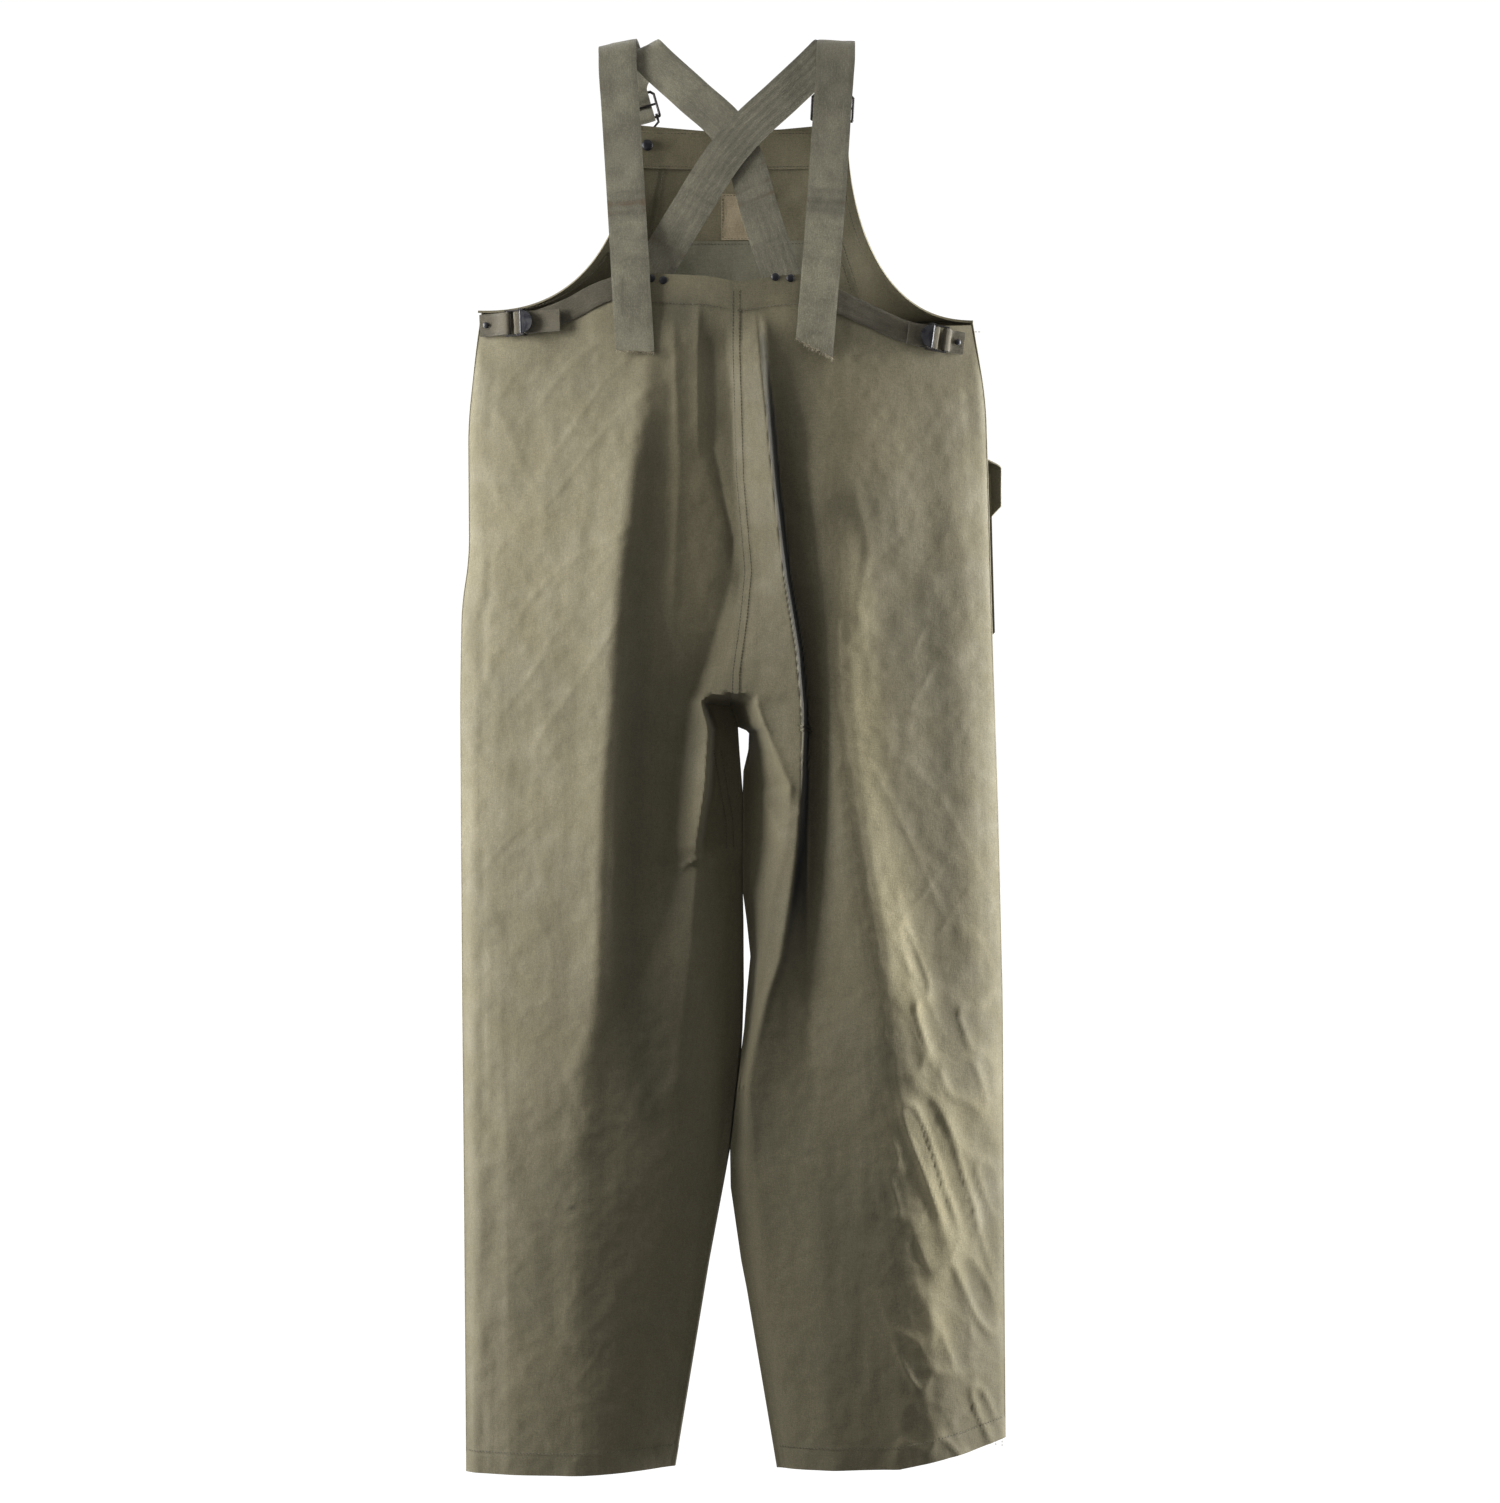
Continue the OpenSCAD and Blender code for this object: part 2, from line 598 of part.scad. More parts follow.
// Waist webbing: sewn at the back, along the cloth, round the middle bar, and out to its free end
LEFT_WAIST = [[-98, -238], [-120, -242], [-140, -249], [-165, -262], [-186, -270]];
RIGHT_WAIST = [[74, -246], [95, -254], [119, -264], [141, -274], [166, -284]];
waist_off = 3;         // the waist webbing stands this far off the cloth
module waist_strap(side) {
    places = side == LEFT ? LEFT_WAIST : RIGHT_WAIST;
    along_cloth = [for (i = [0 : len(places) - 1])
        let(
            p = places[i],
            q = places[max(i, 1)] - places[max(i, 1) - 1],
            a = atan2(q.y, q.x) + (q.x < 0 ? 180 : 0)
        )
        [[p[0], cloth_y(-1, p[0], p[1]) - waist_off, p[1]], [-sin(a), 0, cos(a)]]];
    round_bar = concat([[6, -1.3]], wrap(mid_bar_x, 90, 270),
                       [[0, -7.6], [8, -7.4], [16, -6.4], [TAIL_X[k_of(side)], -5.4]]);
    up = turned(side, [0, 0, 1]);
    color(WEBBING)
        ribbon(concat(along_cloth, [for (p = round_bar) [from_buckle(side, [p[0], p[1], 0]), up]]),
               waist_w, waist_th);
}

module cam_frame(side) {
    color(STEEL) at_buckle(side) {
        for (x = [end_bar_x, mid_bar_x])
            translate([x, bar_y, 0]) cylinder(r = bar_r, h = 2 * cheek_z, center = true);
        for (m = [-1, 1]) difference() {
            union() {
                translate([end_bar_x - 2.5, bar_y - 2, m * cheek_z - 0.7])
                    cube([lever_pin.x - end_bar_x + 5, 4, 1.4]);
                translate([lever_pin.x - 2.5, lever_pin.y - 2.2, m * cheek_z - 0.7])
                    cube([5, bar_y - lever_pin.y + 3, 1.4]);
            }
            translate([lever_pin.x, lever_pin.y, m * cheek_z]) cylinder(r = pin_d / 2, h = 4, center = true);
        }
    }
}

module cam_pin(side) {
    color(STEEL) at_buckle(side)
        translate([lever_pin.x, lever_pin.y, 0])
            cylinder(r = pin_d / 2, h = 2 * cheek_z + 1.8, center = true);
}

// Half-round thumb lever on a barrel, with a row of teeth against the webbing
module cam_lever(side) {
    half = waist_w / 2;
    thumb_th = 1.2;
    barrel_r = 2.2;
    color(BLACK) at_buckle(side) translate([lever_pin.x, lever_pin.y, 0]) difference() {
        union() {
            cylinder(r = barrel_r, h = 2 * half, center = true);
            translate([1, -barrel_r + thumb_th, 0]) rotate([90, 0, 0])
                intersection() {
                    cylinder(r = half, h = thumb_th, $fn = 64);
                    translate([0, -half, 0]) cube([half, 2 * half, thumb_th]);
                }
            for (i = [-4 : 4]) translate([-1.2, 1.2, i * 2.3 - 0.5]) cube([1, 1.1, 1]);
        }
        cylinder(r = pin_d / 2 + pin_play, h = 3 * half, center = true);
    }
}

module tab_rivet(side) {
    k = k_of(side);
    color(BLACK) at_buckle(side) translate([RIVET_X[k], -4.3, 0]) rivet(3, BURR_Y[k] + 4.6);
}
module tab_burr(side) {
    color(STEEL) at_buckle(side) translate([RIVET_X[k_of(side)], BURR_Y[k_of(side)], 0]) burr(3);
}

module left_waist_strap() { waist_strap(LEFT); }
module right_waist_strap() { waist_strap(RIGHT); }
module left_buckle_tab() { buckle_tab(LEFT); }
module right_buckle_tab() { buckle_tab(RIGHT); }
module left_cam_frame() { cam_frame(LEFT); }
module right_cam_frame() { cam_frame(RIGHT); }
module left_cam_lever() { cam_lever(LEFT); }
module right_cam_lever() { cam_lever(RIGHT); }
module left_cam_pin() { cam_pin(LEFT); }
module right_cam_pin() { cam_pin(RIGHT); }
module left_tab_rivet() { tab_rivet(LEFT); }
module right_tab_rivet() { tab_rivet(RIGHT); }
module left_tab_burr() { tab_burr(LEFT); }
module right_tab_burr() { tab_burr(RIGHT); }

// ---- thigh pocket ----------------------------------------------------------
// Pocket frame: x from the side seam inwards along the cloth, y out from the cloth, z up from the flap's seam

pocket_x = 253;          // outer end of the flap's seam
pocket_z = -418;
pocket_in_x = pocket_x - 0.94 * pocket_w;
pocket_turn = atan2(cloth_y(1, pocket_in_x, pocket_z), pocket_in_x - pocket_x);
module at_pocket() {
    translate([pocket_x, 0, pocket_z]) rotate([0, 0, pocket_turn]) mirror([0, 1, 0]) children();
}

snap_x = pocket_w * 0.46;
snap_z = -flap_h + 13;
post_r = rivet_r - 0.2;
pocket_gap = 1.6;        // between the pocket and the leg's cloth
snap_gap = 2;            // between the pocket and its flap
// the cloth's bulge in front of the flap's seam line at the snap
bulge = cloth_y(1, pocket_x + snap_x * cos(pocket_turn), pocket_z + snap_z) - snap_x * sin(pocket_turn);
pocket_lift = -(bulge + pocket_gap) * cos(pocket_turn);
pocket_skin = -cloth_th * cos(pocket_turn);      // the pocket's cloth, measured square to the flap
flap_lift = pocket_lift + pocket_skin + snap_gap;

module snap_hole() {
    translate([snap_x, -30, snap_z]) rotate([-90, 0, 0]) cylinder(r = rivet_r, h = 60);
}

module upright(lift, th) {
    translate([0, lift, 0]) rotate([90, 0, 0]) translate([0, 0, -th]) linear_extrude(th) children();
}

module thigh_pocket() {
    corner = 14;
    drops = [6, 40, 76, 112, 142, pocket_h - corner, pocket_h];
    across = 8;
    function spot(j, k, lift) =
        let(
            z = pocket_z - drops[k],
            cut = k == len(drops) - 1 ? corner : 0,
            x = lerp(side_x(RIGHT, z) + 2.5 - cut, pocket_in_x + cut, j / across)
        )
        [x, cloth_y(1, x, z) + lift, z];
    function grid(lift) = [for (k = [0 : len(drops) - 1]) [for (j = [0 : across]) spot(j, k, lift)]];
    color(CLOTH) difference() {
        sheet(grid(pocket_gap + cloth_th), grid(pocket_gap));
        at_pocket() snap_hole();
    }
}
flap_out = -9;
flap_in = pocket_w + 2;
flap_cut = 10;
module pocket_flap() {
    color(CLOTH) at_pocket() difference() {
        upright(flap_lift, cloth_th)
            polygon([[flap_out, 0], [flap_in, 0], [flap_in, flap_cut - flap_h], [flap_in - flap_cut, -flap_h],
                     [flap_out + flap_cut, -flap_h], [flap_out, flap_cut - flap_h]]);
        snap_hole();
    }
}

// Snap: cap and socket clench the flap, stud and post clench the pocket
module at_snap(lift) {
    color(BLACK) at_pocket() translate([snap_x, lift, snap_z]) rotate([-90, 0, 0]) children();
}
module snap_cap() {
    at_snap(flap_lift + cloth_th) rotate_extrude()
        polygon([[0, -cloth_th - 0.3], [rivet_r, -cloth_th - 0.3], [rivet_r, 0.1], [6.4, 0.1], [7.2, 0.6],
                 [6.2, 1.6], [3, 2.3], [0, 2.4]]);
}
module snap_socket() {
    at_snap(flap_lift) rotate_extrude()
        polygon([[rivet_r, -0.1], [6, -0.1], [6, -0.7], [4.4, -1.0], [2.6, -1.0], [2.6, -0.5],
                 [rivet_r, -0.5]]);
}
module snap_stud() {
    at_snap(pocket_lift + pocket_skin) rotate_extrude()
        polygon([[rivet_r, 0.35], [5.6, 0.35], [5.6, 0.75], [2.3, 0.75], [2.3, 1.3], [rivet_r, 1.3]]);
}
module snap_post() {
    at_snap(pocket_lift) rotate_extrude()
        polygon([[0, -1.1], [5, -1.1], [5, -0.6], [post_r, -0.6], [post_r, cloth_th + 1.1],
                 [0, cloth_th + 1.1]]);
}

// ---- show ------------------------------------------------------------------

back_left_panel();
back_right_panel();
front_left_panel();
front_right_panel();
bib_panel();
bib_top_facing();
bib_pocket();
bib_lining();
blank_label();
back_waist_facing();
thigh_pocket();
pocket_flap();
snap_cap();
snap_socket();
snap_stud();
snap_post();
left_strap();
right_strap();
left_strap_rivets();
right_strap_rivets();
left_strap_burrs();
right_strap_burrs();
left_button();
right_button();
left_button_tack();
right_button_tack();
left_hook_loop();
right_hook_loop();
left_slider();
right_slider();
left_waist_strap();
right_waist_strap();
left_buckle_tab();
right_buckle_tab();
left_cam_frame();
right_cam_frame();
left_cam_lever();
right_cam_lever();
left_cam_pin();
right_cam_pin();
left_tab_rivet();
right_tab_rivet();
left_tab_burr();
right_tab_burr();
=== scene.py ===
"""Looks for chest-high bib overalls that hang by their crossed suspenders, seen from the back.

Frame: +X wearer's right, +Y wearer's front, +Z up, in metres. The origin is the middle of the bar
that the suspenders hang over. The cloth follows the CAD model's surfaces and adds the folds, hems,
seams and wear, and painted light and shade in its colour. The metalwork is the CAD model's own.
"""

import math

import bpy
import numpy as np
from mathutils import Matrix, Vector


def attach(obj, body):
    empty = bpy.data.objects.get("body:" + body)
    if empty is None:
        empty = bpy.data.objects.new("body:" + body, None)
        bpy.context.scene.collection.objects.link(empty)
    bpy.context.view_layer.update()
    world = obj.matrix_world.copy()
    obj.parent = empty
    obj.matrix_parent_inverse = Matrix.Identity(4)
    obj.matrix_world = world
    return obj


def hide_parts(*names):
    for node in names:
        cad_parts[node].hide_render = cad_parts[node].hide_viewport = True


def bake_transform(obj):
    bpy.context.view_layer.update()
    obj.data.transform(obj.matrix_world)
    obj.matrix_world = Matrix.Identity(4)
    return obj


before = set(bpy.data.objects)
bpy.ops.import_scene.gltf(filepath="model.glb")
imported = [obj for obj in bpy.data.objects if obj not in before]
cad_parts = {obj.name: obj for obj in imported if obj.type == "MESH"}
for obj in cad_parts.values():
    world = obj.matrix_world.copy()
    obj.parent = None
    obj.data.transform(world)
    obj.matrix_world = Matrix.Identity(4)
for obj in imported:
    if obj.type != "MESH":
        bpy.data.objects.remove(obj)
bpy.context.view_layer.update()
LEFT, RIGHT = -1, 1
BACK, FRONT = -1, 1
NAME = {LEFT: "left", RIGHT: "right"}
FACE_NAME = {BACK: "back", FRONT: "front"}

# ---- sizes ------------------------------------------------------------------

CLOTH_TH = 0.0012  # thickness of the coated cotton
STRAP_W, STRAP_TH = 0.038, 0.0019
WAIST_W, WAIST_TH = 0.022, 0.0016
HEM_H = 0.022  # height of the trouser hems
WAISTBAND_H = 0.029  # from the back's top edge to its stitching
CENTER_X = -0.006
WAIST_Z, WAIST_TILT = -0.267, -0.02
LENS = 2.2  # roundness of the cloth's section, from flat 1 to boxy
SEAM_LIFT = 0.0007  # how far hems, felled seams and the waistband stand proud
CENTER_SEAM_END = -0.65

# x of the outer edges and the inner edges, by height
OUT_EDGE = {
    LEFT: [(-1.415, -0.271), (-1.1, -0.2735), (-0.95, -0.275), (-0.65, -0.277), (-0.553, -0.2755), (-0.511, -0.268),
           (-0.374, -0.269), (-0.29, -0.260), (-0.226, -0.25)],
    RIGHT: [(-1.415, 0.269), (-1.15, 0.267), (-0.95, 0.266), (-0.75, 0.261), (-0.6, 0.256), (-0.45, 0.252),
            (-0.35, 0.249), (-0.29, 0.239), (-0.226, 0.228)],
}
IN_EDGE = {
    LEFT: [(-1.415, -0.062), (-1.21, -0.028), (-1.129, -0.0128), (-1.098, -0.0072), (-1.079, -0.005), (-1.045, -0.0012),
           (-1.0, 0.004), (-0.979, 0.0052), (-0.937, 0.0065), (-0.87, 0.0062), (-0.841, 0.0055), (-0.741, 0.0052),
           (-0.70, 0.002), (-0.676, 0.0005), (-0.655, -0.006), (-0.623, -0.005), (-0.573, 0.002), (-0.523, 0.007),
           (-0.432, -0.001), (-0.3, -0.005)],
    RIGHT: [(-1.416, 0.040), (-1.392, 0.036), (-1.238, 0.010), (-1.21, 0.0045), (-1.137, -0.006), (-1.098, -0.0066),
            (-1.079, -0.0044), (-1.045, -0.0006), (-1.0, 0.0048), (-0.979, 0.0075), (-0.94, 0.0105), (-0.906, 0.0138),
            (-0.87, 0.010), (-0.841, 0.0061), (-0.745, 0.0060), (-0.721, 0.0068), (-0.70, 0.0118), (-0.681, 0.0125),
            (-0.6765, 0.0012), (-0.655, -0.006), (-0.623, -0.005), (-0.573, 0.002), (-0.523, 0.007), (-0.432, -0.001),
            (-0.3, -0.005)],
}
# depth of the cloth behind and before the side seams, by height
DEPTH = {
    BACK: [(-1.415, 0.042), (-1.2, 0.046), (-0.9, 0.052), (-0.647, 0.058), (-0.45, 0.062), (-0.3, 0.05),
           (-0.226, 0.042)],
    FRONT: [(-1.415, 0.04), (-1.2, 0.044), (-0.9, 0.05), (-0.647, 0.054), (-0.45, 0.058), (-0.27, 0.046)],
}
# share of the way from one trunk section to two leg sections, by height
SPLIT = [(-0.657, 1), (-0.647, 0.985), (-0.636, 0.93), (-0.62, 0.80), (-0.60, 0.58), (-0.58, 0.36), (-0.56, 0.18),
         (-0.54, 0.06), (-0.51, 0)]
# height of the back's top edge and of the hems, by x
BACK_TOP = [(-0.262, -0.268), (-0.2, -0.272), (-0.172, -0.264), (-0.134, -0.244), (-0.11, -0.230), (-0.09, -0.228),
            (-0.03, -0.231), (0.003, -0.237), (0.04, -0.231), (0.078, -0.228), (0.1, -0.24), (0.125, -0.255),
            (0.16, -0.28), (0.24, -0.275)]
HEM_Z = {LEFT: [(-0.268, -1.421), (-0.15, -1.419), (-0.06, -1.415)],
         RIGHT: [(0.04, -1.416), (0.16, -1.413), (0.23, -1.398), (0.268, -1.387)]}


# ---- small maths --------------------------------------------------------------

def lerp(a, b, t):
    return a + (b - a) * t


def ease(t):
    """0 to 1 with soft ends."""
    t = np.clip(t, 0, 1)
    return t * t * (3 - 2 * t)


def table(pairs, at):
    """The value at a place in a table of (place, value), joined by straight lines."""
    keys = sorted(pairs)
    return np.interp(at, [k for k, _ in keys], [v for _, v in keys])


def rounded(pairs, at, spread):
    """The same, with its corners rounded off over a spread."""
    return sum(table(pairs, at + k * spread) for k in (-1, -0.5, 0, 0.5, 1)) / 5


def out_edge(side, z):
    """x of a side's outer edge at a height."""
    return rounded(OUT_EDGE[side], z, 0.02)


def in_edge(side, z):
    """x of a side's edge on the centre seam, and on the inseam below it."""
    return table(IN_EDGE[side], z)


def back_top(x):
    """Height of the back's top edge."""
    return rounded(BACK_TOP, x, 0.006)


def hem_z(side, x):
    """Height of a leg's lower edge."""
    return table(HEM_Z[side], x)


def shares(rows, cols):
    """Shares from 0 to 1 down a grid's rows and across its columns."""
    return np.linspace(0, 1, rows)[:, None], np.linspace(0, 1, cols)[None, :]


def run_along(line):
    """Distance along a line of points, from its start."""
    return np.concatenate([[0], np.cumsum(np.linalg.norm(np.diff(line, axis=0), axis=1))])


def waves(a, b, cell, seed):
    """Smooth random waves from -1 to 1, about a cell apart."""
    n = 128
    spots = np.random.default_rng(seed).uniform(-1, 1, (n, n))
    u, v = np.asarray(a) / cell + 64.3, np.asarray(b) / cell + 64.7
    i, j = np.floor(u).astype(int), np.floor(v).astype(int)
    fu, fv = ease(u - i), ease(v - j)
    i0, i1, j0, j1 = i % n, (i + 1) % n, j % n, (j + 1) % n
    return lerp(lerp(spots[i0, j0], spots[i1, j0], fu), lerp(spots[i0, j1], spots[i1, j1], fu), fv)


def unit(v):
    return v / np.maximum(np.linalg.norm(v, axis=-1, keepdims=True), 1e-12)


def outward(grid, toward):
    """Unit normals of a (rows, columns, 3) grid, on the side that a direction points to."""
    n = unit(np.cross(np.gradient(grid, axis=0), np.gradient(grid, axis=1)))
    return np.where(((n * np.asarray(toward)).sum(-1) < 0)[..., None], -n, n)


# ---- meshes -------------------------------------------------------------------

def new_object(name, data):
    obj = bpy.data.objects.new(name, data)
    bpy.context.scene.collection.objects.link(obj)
    return obj


def new_mesh(name, points, faces):
    mesh = bpy.data.meshes.new(name)
    mesh.from_pydata(points, [], faces)
    mesh.update()
    return mesh


def mesh_object(name, points, faces, material, body, uv=None, tone=None, smooth=50):
    """A smooth-shaded piece that rides on a body; uv and tone hold a value for each point."""
    mesh = new_mesh(name, points.tolist(), faces.tolist())
    if uv is not None:
        layer = mesh.uv_layers.new(name="flat")
        loops = np.empty(len(mesh.loops), np.int32)
        mesh.loops.foreach_get("vertex_index", loops)
        layer.data.foreach_set("uv", uv[loops].astype(np.float32).ravel())
    if tone is not None:
        mesh.attributes.new("tone", "FLOAT", "POINT").data.foreach_set("value", tone.astype(np.float32))
    mesh.shade_smooth()
    mesh.set_sharp_from_angle(angle=math.radians(smooth))
    mesh.materials.append(material)
    obj = new_object(name, mesh)
    if body:
        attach(obj, body)
    return obj


def sheet_faces(rows, cols):
    """Faces of a closed sheet: an outer grid of points, then an inner one."""
    n = rows * cols
    index = np.arange(n).reshape(rows, cols)
    top = np.stack([index[:-1, :-1], index[:-1, 1:], index[1:, 1:], index[1:, :-1]], -1).reshape(-1, 4)
    edges = [index[0, :], index[:, -1], index[-1, ::-1], index[::-1, 0]]
    rims = [np.stack([e[1:], e[:-1], e[:-1] + n, e[1:] + n], -1) for e in edges]
    return np.concatenate([top, top[:, ::-1] + n, *rims])


def sheet(name, outer, inner, material, body, uv=None, tone=None):
    """A closed sheet of cloth between two (rows, columns, 3) grids."""
    rows, cols = outer.shape[:2]
    faces = sheet_faces(rows, cols)
    i, j = rows // 2, cols // 2
    facing = np.cross(outer[i, j] - outer[i, j - 1], outer[i, j] - outer[i - 1, j]) @ (outer[i, j] - inner[i, j])
    if facing < 0:
        faces = faces[:, ::-1]
    points = np.concatenate([outer.reshape(-1, 3), inner.reshape(-1, 3)])
    if uv is None:
        uv = outer[..., [0, 2]]
    flat = np.concatenate([uv.reshape(-1, 2)] * 2)
    shade = np.zeros(rows * cols) if tone is None else tone.ravel()
    return mesh_object(name, points, faces, material, body, flat, np.concatenate([shade] * 2))


def stitches(name, lines, material, body, pitch=0.0034, length=0.0025, r=0.00035):
    """Rows of thread stitches along lines of points that lie on the cloth."""
    points, faces = [], []
    square = [(math.cos(a), math.sin(a)) for a in (0, math.pi / 2, math.pi, 3 * math.pi / 2)]
    for line in lines:
        line = np.asarray(line, float)
        run = run_along(line)
        for s in np.arange(pitch / 2, run[-1] - pitch / 2, pitch):
            a = np.array([np.interp(s - length / 2, run, line[:, k]) for k in range(3)])
            b = np.array([np.interp(s + length / 2, run, line[:, k]) for k in range(3)])
            along = unit(b - a)
            side = unit(np.cross(along, (0.3, 1, 0.2)))
            up = np.cross(side, along)
            start = len(points)
            points += [a, b]
            for share in (0.25, 0.75):
                points += [lerp(a, b, share) + (side * c + up * d) * r for c, d in square]
            for k in range(4):
                m = (k + 1) % 4
                faces += [(start, start + 2 + k, start + 2 + m, start + 2 + m),
                          (start + 2 + k, start + 6 + k, start + 6 + m, start + 2 + m),
                          (start + 6 + k, start + 1, start + 1, start + 6 + m)]
    mesh = new_mesh(name, [p.tolist() for p in points], [tuple(dict.fromkeys(f)) for f in faces])
    mesh.shade_smooth()
    mesh.materials.append(material)
    obj = new_object(name, mesh)
    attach(obj, body)


def cross_rows(grid, places):
    """Lines across a webbing's grid, along some of its rows."""
    return [grid[k, 1:-1] for k in places]


# ---- materials ------------------------------------------------------------------

class Nodes:
    """Short calls for building a material's nodes."""

    def __init__(self, name):
        self.material = bpy.data.materials.new(name)
        self.material.use_nodes = True
        self.tree = self.material.node_tree
        self.shader = self.tree.nodes["Principled BSDF"]

    def add(self, kind, **settings):
        node = self.tree.nodes.new(kind)
        for key, value in settings.items():
            setattr(node, key, value)
        return node

    def join(self, a, b):
        self.tree.links.new(a, b)

    def put(self, socket, value):
        if isinstance(value, bpy.types.NodeSocket):
            self.join(value, socket)
        else:
            socket.default_value = value

    def place(self, scale=(1, 1, 1), uv=False):
        where = self.add("ShaderNodeTexCoord").outputs["UV" if uv else "Object"]
        mapping = self.add("ShaderNodeMapping")
        mapping.inputs["Scale"].default_value = scale
        self.join(where, mapping.inputs["Vector"])
        return mapping.outputs[0]

    def tone(self):
        """How much lighter or darker than its material a point of the mesh is: painted light and shade, stains and
        random tone.
        """
        return self.add("ShaderNodeAttribute", attribute_name="tone").outputs["Fac"]

    def noise(self, where, scale, detail=3.0, rough=0.55):
        node = self.add("ShaderNodeTexNoise")
        node.inputs["Scale"].default_value = scale
        node.inputs["Detail"].default_value = detail
        node.inputs["Roughness"].default_value = rough
        self.join(where, node.inputs["Vector"])
        return node.outputs["Fac"]

    def math(self, operation, a, b=0.0):
        node = self.add("ShaderNodeMath", operation=operation)
        self.put(node.inputs[0], a)
        self.put(node.inputs[1], b)
        return node.outputs[0]

    def remap(self, value, low, high, to_low=0.0, to_high=1.0):
        node = self.add("ShaderNodeMapRange", interpolation_type="SMOOTHSTEP")
        for key, v in zip(("Value", "From Min", "From Max", "To Min", "To Max"), (value, low, high, to_low, to_high)):
            self.put(node.inputs[key], v)
        return node.outputs[0]

    def mix(self, share, a, b, blend="MIX"):
        node = self.add("ShaderNodeMix", data_type="RGBA", blend_type=blend)
        self.put(node.inputs[0], share)
        self.put(node.inputs[6], a)
        self.put(node.inputs[7], b)
        return node.outputs[2]

    def bump(self, height, strength, distance, under=None):
        node = self.add("ShaderNodeBump")
        node.inputs["Strength"].default_value = strength
        node.inputs["Distance"].default_value = distance
        self.join(height, node.inputs["Height"])
        if under is not None:
            self.join(under, node.inputs["Normal"])
        return node.outputs[0]


def grey(v):
    return (v, v, v, 1)


def cloth_material(name, base, shade, faded):
    """Coated cotton: a fine uneven weave, faded in patches, painted light on the folds and painted shade in creases."""
    m = Nodes(name)
    cloud = m.noise(m.place(), 7, 4)
    patch = m.noise(m.place(), 26, 5, 0.62)
    warp = m.noise(m.place(scale=(1, 1, 0.12)), 1500, 2)
    weft = m.noise(m.place(scale=(0.10, 0.3, 1)), 1400, 2)
    grain = m.noise(m.place(), 1100, 2, 0.7)
    streak = m.noise(m.place(scale=(1, 1, 0.12)), 220, 3)
    colour = m.mix(m.remap(cloud, 0.30, 0.72), shade, base)
    colour = m.mix(m.remap(patch, 0.52, 0.8, 0, 0.2), colour, faded)
    colour = m.mix(m.remap(streak, 0.35, 0.7, 0, 0.2), colour, faded)
    weave = m.math("ADD", warp, weft)
    colour = m.mix(0.3, colour, m.remap(weave, 0.7, 1.3, 0.66, 1.28), "MULTIPLY")
    colour = m.mix(0.45, colour, m.remap(grain, 0.3, 0.7, 0.62, 1.38), "MULTIPLY")
    colour = m.mix(1.0, colour, m.math("ADD", 1.0, m.tone()), "MULTIPLY")
    m.join(colour, m.shader.inputs["Base Color"])
    m.join(m.remap(patch, 0.3, 0.7, 0.86, 0.68), m.shader.inputs["Roughness"])
    m.shader.inputs["Sheen Weight"].default_value = 0.12
    m.shader.inputs["Sheen Roughness"].default_value = 0.4
    m.shader.inputs["Specular IOR Level"].default_value = 0.32
    crumple = m.bump(m.noise(m.place(), 90, 4, 0.6), 0.22, 0.002)
    m.join(m.bump(weave, 0.22, 0.0005, crumple), m.shader.inputs["Normal"])
    return m.material


def webbing_material(name, base, shade, faded, rib=0.0012):
    """Cotton webbing: herringbone ribs across its width, handled edges and a few stains."""
    m = Nodes(name)
    where = m.add("ShaderNodeTexCoord").outputs["UV"]
    split = m.add("ShaderNodeSeparateXYZ")
    m.join(where, split.inputs[0])
    across, along = split.outputs[0], split.outputs[1]
    zig = m.math("PINGPONG", across, 0.0038)
    rows = m.math("SINE", m.math("MULTIPLY", m.math("ADD", along, zig), math.tau / rib))
    cords = m.math("SINE", m.math("MULTIPLY", across, math.tau / 0.0009))
    weave = m.math("ADD", rows, m.math("MULTIPLY", cords, 0.5))
    cloud = m.noise(m.place(), 30, 4)
    slub = m.noise(m.place(scale=(40, 9, 1), uv=True), 22, 3)
    cords_worn = m.noise(m.place(scale=(500, 25, 1), uv=True), 1.6, 3)
    grain = m.noise(m.place(), 800, 3, 0.7)
    colour = m.mix(m.remap(cloud, 0.35, 0.68), shade, base)
    colour = m.mix(m.remap(slub, 0.45, 0.75, 0, 0.55), colour, faded)
    colour = m.mix(m.remap(cords_worn, 0.5, 0.8, 0, 0.5), colour, faded)
    colour = m.mix(0.5, colour, m.remap(weave, -1.2, 1.2, 0.68, 1.25), "MULTIPLY")
    colour = m.mix(0.55, colour, m.remap(grain, 0.3, 0.7, 0.6, 1.4), "MULTIPLY")
    tone = m.tone()
    colour = m.mix(1.0, colour, m.math("ADD", 1.0, tone), "MULTIPLY")
    colour = m.mix(m.remap(tone, -0.14, -0.40, 0, 0.55), colour, (0.110, 0.070, 0.036, 1))  # old stains are brown
    m.join(colour, m.shader.inputs["Base Color"])
    m.shader.inputs["Roughness"].default_value = 0.86
    m.shader.inputs["Sheen Weight"].default_value = 0.25
    m.shader.inputs["Specular IOR Level"].default_value = 0.25
    fuzz = m.bump(m.noise(m.place(), 900, 2), 0.25, 0.0004)
    m.join(m.bump(weave, 0.5, 0.0004, fuzz), m.shader.inputs["Normal"])
    return m.material


